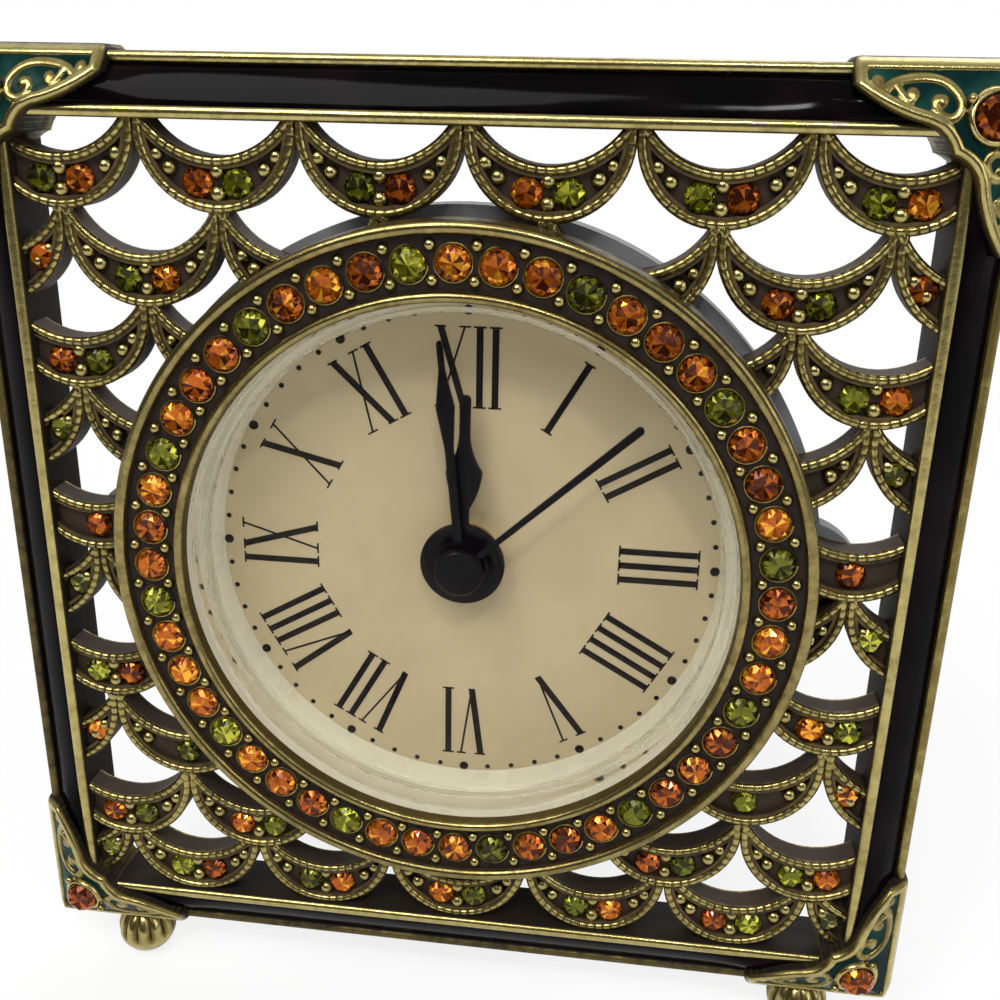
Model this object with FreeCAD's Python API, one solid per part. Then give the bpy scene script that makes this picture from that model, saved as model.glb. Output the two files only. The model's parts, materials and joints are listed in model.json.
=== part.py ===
import FreeCAD
import Part
import math
import os

# Small square desk clock with a pierced fish-scale grille, a jewelled bezel and a quartz movement.
# Every piece is drawn in the clock's own frame: X to the right, Z up, Y backwards from the plane of
# the frame's inner rim, with the hands' axis through 0, 0. At the end the clock leans back on its
# strut and stands on Z = 0, with the middle of its box at X = 0 and Y = 0.

# Stance
lean_deg = 8.0
strut_open_deg = 25.0
strut_fold_gap_deg = 0.5

# Square frame: a rail with two raised rims and a band of enamel between them
opening = 78.0
inner_rim_width = 1.05
enamel_width = 3.25
outer_rim_width = 1.0
rail_depth = 6.0
rail_fall = 1.9
rim_round = 0.35
outer_rim_round = 0.9
enamel_bed = 0.95
enamel_lip = 0.3
enamel_dome = 0.2

# Corner brackets; their outline is in shares of the leg, from the outer corner
bracket_leg = 14.7
bracket_overhang = 0.5
bracket_rise = 1.1
bracket_crown_width = 1.0
bracket_crown_bulge = 0.55
bracket_inset = 3.0
bracket_corner_round = 2.2
bracket_border = 1.15
bracket_tip_share = 0.15
bracket_swell_share = (0.83, 0.262)
bracket_neck_share = (0.633, 0.333)
bracket_hollow_share = (0.53, 0.40)
bracket_nose_share = 0.483
field_recess = 0.2
field_thickness = 0.45
corner_stone_diameter = 3.2
corner_stone_inset = 4.2
corner_collar_width = 0.45
corner_collar_rise = 0.25
corner_stone_sink = 0.35

# Fish-scale grille; the rows' lowest points are in shares of the opening, from its top
grille_setback = 0.9
grille_thickness = 2.4
scale_pitch_share = 0.1795
scale_row_shares = (0.097, 0.203, 0.301, 0.404, 0.505, 0.606, 0.709, 0.818, 0.923, 1.003)
scale_lap = 0.05
scale_band = 4.7
scale_inner_radius = 7.25
scale_horn_lap = 1.2
scale_rim = 1.05
scale_recess = 0.6
grille_ring_width = 1.2

# Stones: flat backs glued on the floor of a recess, in shares of their diameter
stone_girdle_share = 0.10
stone_crown_share = 0.20
stone_table_share = 0.52
stone_fit = 0.02
grille_stone_diameter = 2.6
grille_stone_offset = 1.75
grille_stone_height = 2.5
edge_stone_height = 4.1
edge_stone_inset = 1.55
# Stones in each row's scales from left to right: A is amber, G is green and - is an empty or hidden scale
stone_rows = (
    "GA AG GA AG GA GA",
    "A GA - - - AG A",
    "AG - - - - GA",
    "G - - - - - G",
    "A - - - - A",
    "G - - - - - G",
    "GA - - - - AG",
    "A G - - - G A",
    "AG AG - - AG GA",
    "G GA GA AG GA AG G",
)

# Round bezel ring
bezel_outer_radius = 31.9
bezel_outer_rim_width = 1.1
bezel_inner_rim_width = 0.9
bezel_width = 6.6
bezel_rise = 2.7
bezel_rim_round = 0.45
bezel_channel_rise = 1.9
bezel_flange_width = 1.5
bezel_spigot_gap = 0.05
bezel_stone_diameter = 3.05
bezel_stone_pitch = 3.73
bezel_first_deg = -8.0
bezel_green_every = 4

# Lens, reflector and dial
lens_gap = 0.1
lens_front_rise = 1.7
lens_thickness = 1.1
lens_shoulder = 1.6
lens_skirt = 1.0
lens_skirt_end = 2.2
reflector_wall = 1.1
dial_setback = 4.8
dial_thickness = 0.4

# Movement case and its ears
case_flange_overlap = 0.8
case_flange_depth = 2.7
case_flange_step = 1.7
case_wall = 1.6
case_depth = 13.7
case_taper = 0.4
case_lip_thickness = 1.9
ear_radius = 6.2
ear_sink = 2.3
ear_screw_overhang = 0.7
ear_screw_height = 2.0
cover_boss_radius = 1.8
cover_boss_wall = 1.0
cover_boss_deg = (30, 150, 270)

# Screws
case_screw_radius = 0.8
case_screw_depth = 1.6
case_screw_head_radius = 1.5
case_screw_head = 0.9
cover_screw_radius = 0.8
cover_screw_length = 5.0
cover_screw_head_radius = 1.6
cover_screw_head = 0.9
screw_fit = 0.03
screw_slot_width = 0.4
screw_slot_depth = 0.4

# Front plate, its bushing and posts, and the bridge behind the train
plate_fit = 0.1
front_plate_thickness = 1.2
bushing_radius = 3.0
bushing_bore = 2.0
bushing_reach = 1.6
nut_fit = 0.02
nut_across = 7.6
nut_thickness = 1.2
dial_hole_gap = 0.1
bridge_front = 13.9
bridge_thickness = 0.8
bridge_radius = 21.5
bridge_top = 17.9
pillar_radius = 1.5
pillar_circle = 20.0
pillar_deg = (30, 150, 270)

# Arbors, pipes and running clearances
running_fit = 0.05
arbor_radius = 0.4
second_arbor_radius = 0.45
minute_pipe_radius = 1.15
hour_pipe_radius = 1.95
pivot_end_gap = 0.1

# Train: teeth and the shares of a module or of a tooth's pitch that shape them
tip_share = 0.75
root_share = 1.15
tooth_tip_share = 0.20
tooth_root_share = 0.52
pinion_teeth = 8
third_wheel_teeth = 60
centre_wheel_teeth = 64
second_wheel_teeth = 40
intermediate_wheel_teeth = 48
cannon_teeth = 10
motion_wheel_teeth = 30
hour_wheel_teeth = 32
knob_wheel_teeth = 20
third_distance = 8.5
third_deg = 300.0
intermediate_distance = 8.64
intermediate_deg = 90.0
rotor_distance = 6.16
motion_distance = 7.0
motion_deg = 0.0

# Layers of the train, front and back faces
hour_layer = (6.7, 7.6)
motion_layer = (8.0, 8.9)
centre_layer = (9.4, 10.1)
third_pinion_layer = (9.2, 10.5)
third_layer = (10.8, 11.4)
second_pinion_layer = (10.7, 11.7)
second_layer = (12.0, 12.6)
intermediate_pinion_layer = (11.9, 12.7)
intermediate_layer = (13.0, 13.5)
rotor_pinion_layer = (12.9, 13.6)
rotor_magnet_layer = (10.4, 12.2)
rotor_magnet_radius = 2.5
centre_hub_radius = 1.9
motion_post_radius = 0.6
stator_post_radius = 1.3
stator_post_height = 16.6

# Step motor
stator_layer = (10.8, 11.8)
stator_half_width = 12.0
stator_leg_width = 4.0
stator_bottom_drop = 4.4
stator_bar_height = 3.6
stator_bore_gap = 0.4
coil_wall_gap = 3.4
coil_core_height = 2.0
coil_core_depth = 1.2
bobbin_bore = 1.25
bobbin_wall = 0.3
bobbin_flange_radius = 3.1
bobbin_flange = 0.8
bobbin_half_length = 7.6
coil_radius = 2.8
coil_gap = 0.05

# Circuit board and quartz crystal
board_left = 2.6
board_right = 14.0
board_bottom = 3.0
board_top = 12.4
board_thickness = 0.6
crystal_radius = 0.72
crystal_length = 6.0
crystal_can_gap = 1.2

# Button cell, its cup in the front plate and its contacts
cell_x = -15.2
cell_z = -12.5
cell_radius = 5.8
cell_height = 5.3
cell_gap = 0.4
cell_cap_radius = 4.6
cell_cap_height = 0.3
cup_wall = 0.6
cup_floor = 10.9
cup_rim = 15.5
contact_thickness = 0.25
contact_width = 2.4
contact_arc_deg = 50

# Rear cover, battery door and setting knob
cover_thickness = 1.6
door_thickness = 0.95
door_half_width = 6.9
door_gap = 0.08
door_tongue = 0.6
door_tongue_thickness = 0.4
door_travel = 10.0
door_well_gap = 0.4
door_ridge_width = 0.6
door_ridge_height = 0.35
door_ridge_pitch = 1.6
door_ridge_half_length = 3.5
knob_radius = 4.2
knob_length = 3.0
knob_clearance = 0.4
knob_shaft_radius = 1.0
knob_flutes = 18
knob_flute_radius = 0.4

# Strut, its bracket and its pin
hinge_height = 11.0
hinge_standoff = 2.6
hinge_pin_radius = 0.9
hinge_pin_fit = 0.02
strut_half_width = 7.2
strut_foot_half_width = 4.8
strut_thickness = 1.5
strut_knuckle_wall = 0.8
strut_side_gap = 0.35
strut_heel_gap = 0.06
bracket_plate_thickness = 0.8
bracket_ear_thickness = 1.4
bracket_ear_radius = 2.0
bracket_plate_above = 6.2
bracket_plate_below = 5.4
bracket_screw_radius = 0.7
bracket_screw_head_radius = 1.2
bracket_screw_head = 0.6
bracket_screw_half_pitch = 4.6
bracket_screw_drop = 3.4
pin_head_radius = 1.4
pin_head = 0.5

# Hands at 11:59:08, and their outlines in shares of each hand's length with half widths
hour_hand_deg = 0.6
minute_hand_deg = -5.5
second_hand_deg = 47.5
hour_hand_gap = 7.8
minute_hand_gap = 2.7
second_hand_gap = 2.4
hour_hub_radius = 4.0
minute_hub_radius = 2.7
cap_radius = 2.3
hour_hand_front = 2.4
minute_hand_front = 1.35
second_hand_front = 0.5
hand_thickness = 0.35
second_hand_thickness = 0.25
cap_rise = 0.6
hour_stem_half = 0.55
hour_swell_half = 1.35
hour_pear_half = 1.7
hour_taper_half = 0.85
hour_tip_half = 0.5
hour_stem_share = 0.34
hour_swell_share = 0.45
hour_pear_share = 0.56
hour_taper_share = 0.66
hour_neck_share = 0.80
minute_stem_half = 0.4
minute_diamond_half = 0.85
minute_tip_half = 0.28
minute_neck_share = 0.54
minute_diamond_share = 0.72
minute_taper_share = 0.88
second_hub_half = 0.25
second_tip_half = 0.38

# Ball feet under the lower brackets
foot_radius = 3.1
foot_reach = 36.0
foot_setback = 4.2
foot_drop = 2.7
foot_flat = 0.25
foot_neck_radius = 1.7
foot_flutes = 12
foot_flute_radius = 0.42
foot_flute_drop = 0.4
stud_radius = 1.0
stud_length = 4.0

# Places worked out from the sizes above
overrun = 2 * opening
half = opening / 2
rail_width = inner_rim_width + enamel_width + outer_rim_width
frame_edge = half + rail_width
bracket_edge = frame_edge + bracket_overhang
grille_front = grille_setback
grille_back = grille_front + grille_thickness
scale_pitch = opening * scale_pitch_share
scale_radius = scale_pitch / 2 + scale_lap
bezel_front = -bezel_rise
bezel_bore_radius = bezel_outer_radius - bezel_width
bezel_spigot_radius = bezel_outer_radius - bezel_flange_width
bezel_floor_outer = bezel_outer_radius - bezel_outer_rim_width
bezel_floor_inner = bezel_bore_radius + bezel_inner_rim_width
bezel_stone_circle = (bezel_floor_outer + bezel_floor_inner) / 2
bezel_stone_count = 4 * round(math.pi * bezel_stone_circle / bezel_stone_pitch / 2)
case_flange_radius = bezel_outer_radius + case_flange_overlap
case_body_radius = case_flange_radius - case_flange_step
case_inside_radius = case_body_radius - case_wall
ear_reach = case_flange_radius - ear_sink
ear_screw_reach = case_flange_radius + ear_screw_overhang
cover_boss_circle = case_body_radius - cover_boss_radius - cover_boss_wall
bezel_floor = -bezel_channel_rise
case_front = grille_back
case_back = case_front + case_depth
dial_back = dial_setback + dial_thickness
plate_front = dial_back
plate_back = plate_front + front_plate_thickness
cover_front = case_back
cover_back = cover_front + cover_thickness
bridge_back = bridge_front + bridge_thickness
optics_radius = bezel_bore_radius - lens_gap
dial_room = optics_radius - reflector_wall
hour_hand_length = dial_room - hour_hand_gap
minute_hand_length = dial_room - minute_hand_gap
second_hand_length = dial_room - second_hand_gap
coil_height = case_inside_radius - coil_wall_gap - bobbin_flange_radius
second_bore = second_arbor_radius + running_fit
minute_bore = minute_pipe_radius + running_fit
strut_swing_deg = strut_open_deg - strut_fold_gap_deg
hinge_back = cover_back + hinge_standoff

ORIGIN = FreeCAD.Vector(0, 0, 0)
ALONG_X = FreeCAD.Vector(1, 0, 0)
ALONG_Y = FreeCAD.Vector(0, 1, 0)
ALONG_Z = FreeCAD.Vector(0, 0, 1)


def vec(x, y, z):
    return FreeCAD.Vector(x, y, z)


def polar(radius, degrees):
    """X and Z of a point at an angle measured from +X towards +Z."""
    angle = math.radians(degrees)
    return radius * math.cos(angle), radius * math.sin(angle)


def disc(radius, front, back, x=0, z=0):
    """Round bar along Y."""
    return Part.makeCylinder(radius, back - front, vec(x, front, z), ALONG_Y)


def rod(radius, left, right, y, z):
    """Round bar along X."""
    return Part.makeCylinder(radius, right - left, vec(left, y, z), ALONG_X)


def block(x0, x1, y0, y1, z0, z1):
    return Part.makeBox(x1 - x0, y1 - y0, z1 - z0, vec(x0, y0, z0))


def closed_face(start, *steps):
    """Face with lines and arcs: a step is an end point, or a way point and an end point."""
    edges = []
    here = start
    for step in steps:
        if isinstance(step, tuple):
            way, end = step
            edges.append(Part.Arc(here, way, end).toShape())
        else:
            end = step
            edges.append(Part.LineSegment(here, end).toShape())
        here = end
    if (here - start).Length > 0:
        edges.append(Part.LineSegment(here, start).toShape())
    return Part.Face(Part.Wire(edges))


def turned(face):
    """Solid of revolution about the hands' axis, from a section drawn in X and Y."""
    return face.revolve(ORIGIN, ALONG_Y, 360)


def turned_about_y(shape, degrees, x=0, z=0):
    """Copy turned clockwise, as seen from the front, about an axis along Y."""
    copy = shape.copy()
    copy.rotate(vec(x, 0, z), ALONG_Y, degrees)
    return copy


def moved(shape, x, y, z):
    copy = shape.copy()
    copy.translate(vec(x, y, z))
    return copy


def fused(shapes):
    """One clean solid from overlapping ones."""
    return shapes[0].multiFuse(shapes[1:]).removeSplitter()


def mitred(face):
    """Square moulding with mitred corners, from a section at the top rail's left end."""
    bar = face.extrude(vec(2 * overrun, 0, 0))
    wedge = closed_face(vec(0, -overrun, 0), vec(-overrun, -overrun, overrun),
                        vec(overrun, -overrun, overrun))
    side = bar.common(wedge.extrude(vec(0, 2 * overrun, 0)))
    return [turned_about_y(side, 90 * corner) for corner in range(4)]


def rail_point(across, depth):
    """Point of a rail's section: across from the opening's edge, and back from the inner rim's plane."""
    return vec(-overrun, depth, half + across)


def square_frame():
    enamel_start = inner_rim_width
    enamel_end = inner_rim_width + enamel_width
    section = closed_face(
        rail_point(0, rim_round),
        (rail_point(inner_rim_width / 2, 0), rail_point(enamel_start, rim_round)),
        rail_point(enamel_start, enamel_bed),
        rail_point(enamel_end, rail_fall + enamel_bed),
        rail_point(enamel_end, rail_fall + rim_round),
        (rail_point(enamel_end + outer_rim_width / 2, rail_fall + rim_round / 2),
         rail_point(rail_width, rail_fall + outer_rim_round)),
        rail_point(rail_width, rail_depth),
        rail_point(0, rail_depth),
    )
    return fused(mitred(section))


def enamel_bands():
    """One band in each rail, meeting at the corners under the brackets."""
    start = inner_rim_width
    end = inner_rim_width + enamel_width
    top = rail_fall / 2 + enamel_lip - enamel_dome
    section = closed_face(
        rail_point(start, enamel_bed),
        rail_point(start, enamel_lip + rim_round / 2),
        (rail_point((start + end) / 2, top), rail_point(end, rail_fall + enamel_lip + rim_round / 2)),
        rail_point(end, rail_fall + enamel_bed),
    )
    return mitred(section)


def bracket_outline():
    """Ogee outline of the top right bracket, drawn in front of the clock."""
    def at(along_share, across_share):
        return vec(bracket_edge - along_share * bracket_leg, -overrun,
                   bracket_edge - across_share * bracket_leg)

    round_share = bracket_corner_round / bracket_leg
    arc_share = round_share * (1 - math.sqrt(0.5))
    swell, neck, hollow = bracket_swell_share, bracket_neck_share, bracket_hollow_share
    return closed_face(
        at(1, 0),
        at(round_share, 0),
        (at(arc_share, arc_share), at(0, round_share)),
        at(0, 1),
        at(bracket_tip_share, 1),
        (at(swell[1], swell[0]), at(neck[1], neck[0])),
        (at(hollow[1], hollow[0]), at(bracket_nose_share, bracket_nose_share)),
        (at(hollow[0], hollow[1]), at(neck[0], neck[1])),
        (at(swell[0], swell[1]), at(1, bracket_tip_share)),
    )


def bracket_moulding():
    """Domed body of the brackets, before the outline is cut."""
    crown = bracket_crown_width
    edge = rail_width + bracket_overhang
    section = closed_face(
        rail_point(-bracket_inset, -bracket_rise),
        rail_point(crown, -bracket_rise),
        (rail_point((crown + edge) / 2, (rail_fall - bracket_rise) / 2 - bracket_crown_bulge),
         rail_point(edge, rail_fall)),
        rail_point(edge, rail_depth),
        rail_point(-bracket_inset, rail_depth),
    )
    return fused(mitred(section))


def corner_pieces(frame, bands):
    """Bracket, enamel field and stone of the top right corner."""
    moulding = bracket_moulding()
    outline = bracket_outline()
    deep = vec(0, 2 * overrun, 0)
    inner = outline.makeOffset2D(-bracket_border).extrude(deep)
    body = moulding.common(outline.extrude(deep))
    body = body.cut(fused([frame] + bands))
    body = body.cut(block(-half, half, grille_front, overrun, -half, half))
    under = moved(moulding, 0, field_recess + field_thickness, 0)
    body = body.cut(moulding.common(inner).cut(under))
    field = moved(moulding, 0, field_recess, 0).common(inner).cut(under)
    stone_at = bracket_edge - corner_stone_inset
    stone_radius = corner_stone_diameter / 2
    collar_radius = stone_radius + corner_collar_width
    collar_front = -bracket_rise - corner_collar_rise
    collar_back = -bracket_rise + field_recess + field_thickness
    seat = -bracket_rise + corner_stone_sink
    collar = disc(collar_radius, collar_front, collar_back, stone_at, stone_at)
    body = fused([body, collar]).cut(disc(stone_radius, collar_front, seat, stone_at, stone_at))
    field = field.cut(disc(collar_radius, -overrun, overrun, stone_at, stone_at))
    return body, field, faceted_stone(corner_stone_diameter, stone_at, stone_at, seat)


def faceted_stone(diameter, x, z, seat):
    """Flat-backed stone with a flat table, its back on the plane Y = seat."""
    girdle = seat - stone_girdle_share * diameter
    table = girdle - stone_crown_share * diameter
    section = closed_face(
        vec(0, seat, 0),
        vec(diameter / 2, seat, 0),
        vec(diameter / 2, girdle, 0),
        vec(stone_table_share * diameter / 2, table, 0),
        vec(0, table, 0),
    )
    return moved(turned(section), x, 0, z)


def scale_rows():
    """Centre X and lowest Z of every fish scale, row by row, cut ones at the frame included."""
    rows = []
    for index, share in enumerate(scale_row_shares):
        bottom = half - opening * share
        first = -5 if index % 2 == 0 else -6
        rows.append([(column * scale_pitch / 2, bottom) for column in range(first, 7, 2)])
    return rows


def crescent(x, bottom, top, inset, front, back):
    """Crescent prism with its arcs drawn in by inset, cut level at the top."""
    outer = disc(scale_radius - inset, front, back, x, bottom + scale_radius)
    inner_radius = scale_inner_radius + inset
    inner = disc(inner_radius, -overrun, overrun, x, bottom + scale_band + scale_inner_radius)
    return outer.cut(inner).common(block(-overrun, overrun, front, back, bottom - scale_pitch, top))


def grille_stone_places():
    """Letter, X and Z of each stone that the bezel leaves in sight."""
    places = []
    for row, words in zip(scale_rows(), stone_rows):
        for (x, bottom), letters in zip(row, words.split()):
            height = bottom + grille_stone_height
            if abs(x) > half - scale_radius / 2 and letters != "-":
                edge = math.copysign(half - edge_stone_inset, x)
                places.append((letters, edge, bottom + edge_stone_height))
            elif len(letters) == 2:
                places.append((letters[0], x - grille_stone_offset, height))
                places.append((letters[1], x + grille_stone_offset, height))
            elif letters != "-":
                places.append((letters, x, height))
    reach = bezel_outer_radius + grille_stone_diameter / 2
    return [place for place in places if math.hypot(place[1], place[2]) > reach]


def grille_stones(letter):
    seat = grille_front + scale_recess
    return [faceted_stone(grille_stone_diameter, x, z, seat)
            for name, x, z in grille_stone_places() if name == letter]


def scale_grille():
    rows = scale_rows()
    hole = bezel_spigot_radius + bezel_spigot_gap
    ring_radius = hole + grille_ring_width
    ring = disc(ring_radius, grille_front, grille_back).cut(disc(hole, -overrun, overrun))
    bodies = [ring]
    recesses = []
    for index, row in enumerate(rows):
        above = rows[index - 1] if index else []
        for x, bottom in row:
            if math.hypot(x, bottom) < hole - scale_pitch / 2:
                continue
            top = (above[0][1] if above else half) + scale_horn_lap
            bodies.append(crescent(x, bottom, top, 0, grille_front, grille_back))
            recess = crescent(x, bottom, top, scale_rim, grille_front, grille_front + scale_recess)
            for other_x, other_bottom in above:
                if abs(other_x - x) < scale_pitch:
                    over = disc(scale_radius, -overrun, overrun, other_x, other_bottom + scale_radius)
                    recess = recess.cut(over)
            recesses.append(recess.cut(disc(ring_radius, -overrun, overrun)))
    body = fused(bodies)
    body = body.common(block(-half, half, grille_front, grille_back, -half, half))
    body = body.cut(disc(hole, -overrun, overrun))
    recesses = [recess for recess in recesses if recess.Volume > 0]
    seat_radius = grille_stone_diameter / 2 + stone_fit
    seats = [disc(seat_radius, -overrun, grille_front + scale_recess, x, z)
             for letter, x, z in grille_stone_places()]
    body = body.cut(recesses + seats)
    for x in (-ear_screw_reach, ear_screw_reach):
        screw_hole = disc(case_screw_radius + screw_fit, grille_back - case_screw_depth, overrun,
                          x, ear_screw_height)
        body = body.cut(screw_hole)
    return body


def bezel_ring():
    outer = bezel_outer_radius
    floor_outer = bezel_floor_outer
    bore = bezel_bore_radius
    floor_inner = bezel_floor_inner
    shoulder = bezel_front + bezel_rim_round
    section = closed_face(
        vec(bore, grille_back, 0),
        vec(bore, shoulder, 0),
        (vec((bore + floor_inner) / 2, bezel_front, 0), vec(floor_inner, shoulder, 0)),
        vec(floor_inner, bezel_floor, 0),
        vec(floor_outer, bezel_floor, 0),
        vec(floor_outer, shoulder, 0),
        (vec((outer + floor_outer) / 2, bezel_front, 0), vec(outer, shoulder, 0)),
        vec(outer, grille_front, 0),
        vec(bezel_spigot_radius, grille_front, 0),
        vec(bezel_spigot_radius, grille_back, 0),
    )
    return turned(section)


def bezel_stones():
    stones = {"A": [], "G": []}
    for index in range(bezel_stone_count):
        clock_deg = bezel_first_deg + 360 * index / bezel_stone_count
        x, z = polar(bezel_stone_circle, 90 - clock_deg)
        letter = "A" if index % bezel_green_every else "G"
        stones[letter].append(faceted_stone(bezel_stone_diameter, x, z, bezel_floor))
    return stones["A"], stones["G"]


def lens():
    """Clear cap with a rounded shoulder and a skirt that stands on the reflector."""
    outer = optics_radius
    front = -lens_front_rise
    inner = outer - lens_skirt
    shoulder_share = 1 - math.sqrt(0.5)
    inner_shoulder = lens_shoulder - lens_skirt / 2
    section = closed_face(
        vec(0, front, 0),
        vec(outer - lens_shoulder, front, 0),
        (vec(outer - shoulder_share * lens_shoulder, front + shoulder_share * lens_shoulder, 0),
         vec(outer, front + lens_shoulder, 0)),
        vec(outer, lens_skirt_end, 0),
        vec(inner, lens_skirt_end, 0),
        vec(inner, front + lens_thickness + inner_shoulder, 0),
        (vec(inner - shoulder_share * inner_shoulder,
             front + lens_thickness + shoulder_share * inner_shoulder, 0),
         vec(inner - inner_shoulder, front + lens_thickness, 0)),
        vec(0, front + lens_thickness, 0),
    )
    return turned(section)


def reflector_ring():
    ring = disc(optics_radius, lens_skirt_end, dial_setback)
    return ring.cut(disc(optics_radius - reflector_wall, -overrun, overrun))


def dial():
    hole = disc(bushing_radius + dial_hole_gap, -overrun, overrun)
    return disc(optics_radius, dial_setback, dial_back).cut(hole)


def movement_case():
    """Cup open at the back, with a flange behind the grille, two ears and three bosses."""
    body, flange, bore = case_body_radius, case_flange_radius, bezel_bore_radius
    inside = case_inside_radius
    flange_back = case_front + case_flange_depth
    section = closed_face(
        vec(bore, case_front, 0),
        vec(flange, case_front, 0),
        vec(flange, flange_back, 0),
        vec(body, flange_back + case_taper, 0),
        vec(body, case_back, 0),
        vec(inside, case_back, 0),
        vec(inside, plate_front, 0),
        vec(bore, plate_front, 0),
    )
    shapes = [turned(section)]
    ear_back = case_front + case_lip_thickness
    for side in (-1, 1):
        ear = disc(ear_radius, case_front, ear_back, side * ear_reach, 0)
        shapes.append(ear.cut(disc(bore, -overrun, overrun)))
    for angle in cover_boss_deg:
        x, z = polar(cover_boss_circle, angle)
        shapes.append(disc(cover_boss_radius, plate_back, case_back, x, z))
    shape = fused(shapes)
    for angle in cover_boss_deg:
        x, z = polar(cover_boss_circle, angle)
        hole = disc(cover_screw_radius + screw_fit, case_back - cover_screw_length, overrun, x, z)
        shape = shape.cut(hole)
    for x in (-ear_screw_reach, ear_screw_reach):
        shape = shape.cut(disc(case_screw_radius + screw_fit, 0, ear_back, x, ear_screw_height))
        shape = shape.cut(disc(case_screw_head_radius + screw_fit, ear_back, overrun, x, ear_screw_height))
    return shape


def screw(shank_radius, head_radius, head, length, x, z, seat):
    """Slotted screw driven forwards from a seat plane."""
    top = seat + head
    shape = fused([disc(head_radius, seat, top, x, z), disc(shank_radius, seat - length, seat, x, z)])
    half_width = screw_slot_width / 2
    floor = top - screw_slot_depth
    return shape.cut(block(x - overrun, x + overrun, floor, overrun, z - half_width, z + half_width))


def case_screws():
    seat = case_front + case_lip_thickness
    length = case_lip_thickness + case_screw_depth
    z = ear_screw_height
    return [screw(case_screw_radius, case_screw_head_radius, case_screw_head, length, x, z, seat)
            for x in (-ear_screw_reach, ear_screw_reach)]


def cover_screws():
    screws = []
    for angle in cover_boss_deg:
        x, z = polar(cover_boss_circle, angle)
        screws.append(screw(cover_screw_radius, cover_screw_head_radius, cover_screw_head,
                            cover_thickness + cover_screw_length, x, z, cover_back))
    return screws


def gear(teeth, module, layer, x, z, phase):
    """Toothed disc with a tooth centred at the angle phase, from +X towards +Z."""
    pitch_radius = module * teeth / 2
    tip = pitch_radius + tip_share * module
    root = pitch_radius - root_share * module
    step = 360 / teeth
    wide, narrow = tooth_root_share, tooth_tip_share
    corners = ((root, -wide), (tip, -narrow), (tip, narrow), (root, wide))
    points = []
    for index in range(teeth):
        for radius, share in corners:
            px, pz = polar(radius, phase + (index + share / 2) * step)
            points.append(vec(x + px, layer[0], z + pz))
    return closed_face(*points).extrude(vec(0, layer[1] - layer[0], 0))


def meshed_phase(phase, teeth, line_deg, other_teeth):
    """Phase of a gear that meshes with another one, across the line of centres."""
    return line_deg + 180 + 180 / other_teeth - (phase - line_deg) * teeth / other_teeth


def module_of(distance, teeth, other_teeth):
    return 2 * distance / (teeth + other_teeth)


def motion_module():
    return module_of(motion_distance, cannon_teeth, motion_wheel_teeth)


def train_places():
    third = polar(third_distance, third_deg)
    intermediate = polar(intermediate_distance, intermediate_deg)
    rotor = polar(intermediate_distance + rotor_distance, intermediate_deg)
    motion = polar(motion_distance, motion_deg)
    knob_step = motion_module() * (motion_wheel_teeth + knob_wheel_teeth) / 2
    knob = polar(motion_distance + knob_step, motion_deg)
    return {"third": third, "intermediate": intermediate, "rotor": rotor, "motion": motion, "knob": knob}


def second_wheel():
    """Seconds arbor with its wheel and pinion; it carries the second hand."""
    wheel_module = module_of(intermediate_distance, pinion_teeth, second_wheel_teeth)
    pinion_module = module_of(third_distance, pinion_teeth, third_wheel_teeth)
    arbor = disc(second_arbor_radius, second_hand_front, bridge_back - pivot_end_gap)
    return fused([
        arbor,
        gear(second_wheel_teeth, wheel_module, second_layer, 0, 0, intermediate_deg),
        gear(pinion_teeth, pinion_module, second_pinion_layer, 0, 0, third_deg),
    ])


def plain_arbor(place):
    """Arbor that turns in the front plate and in the bridge."""
    return disc(arbor_radius, plate_front + pivot_end_gap, bridge_back - pivot_end_gap, place[0], place[1])


def third_wheel(place):
    wheel_module = module_of(third_distance, pinion_teeth, third_wheel_teeth)
    pinion_module = module_of(third_distance, pinion_teeth, centre_wheel_teeth)
    wheel_phase = meshed_phase(third_deg, pinion_teeth, third_deg, third_wheel_teeth)
    return fused([
        plain_arbor(place),
        gear(third_wheel_teeth, wheel_module, third_layer, place[0], place[1], wheel_phase),
        gear(pinion_teeth, pinion_module, third_pinion_layer, place[0], place[1], third_deg + 180),
    ])


def centre_wheel():
    """Wheel that drives the cannon pinion through a friction fit."""
    module = module_of(third_distance, pinion_teeth, centre_wheel_teeth)
    phase = meshed_phase(third_deg + 180, pinion_teeth, third_deg + 180, centre_wheel_teeth)
    wheel = gear(centre_wheel_teeth, module, centre_layer, 0, 0, phase)
    hub = disc(centre_hub_radius, centre_layer[0], third_pinion_layer[1])
    return fused([wheel, hub]).cut(disc(minute_pipe_radius + running_fit, -overrun, overrun))


def cannon_pinion():
    """Minute pipe with its pinion; it carries the minute hand."""
    pipe = disc(minute_pipe_radius, minute_hand_front, third_pinion_layer[1])
    pinion = gear(cannon_teeth, motion_module(), motion_layer, 0, 0, motion_deg)
    return fused([pipe, pinion]).cut(disc(second_bore, -overrun, overrun))


def motion_wheel(place):
    pinion_module = module_of(motion_distance, pinion_teeth, hour_wheel_teeth)
    phase = meshed_phase(motion_deg, cannon_teeth, motion_deg, motion_wheel_teeth)
    wheel = gear(motion_wheel_teeth, motion_module(), motion_layer, place[0], place[1], phase)
    pinion_layer = (hour_layer[0], motion_layer[0])
    pinion = gear(pinion_teeth, pinion_module, pinion_layer, place[0], place[1], motion_deg + 180)
    hole = disc(motion_post_radius + running_fit, -overrun, overrun, place[0], place[1])
    return fused([wheel, pinion]).cut(hole)


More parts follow.
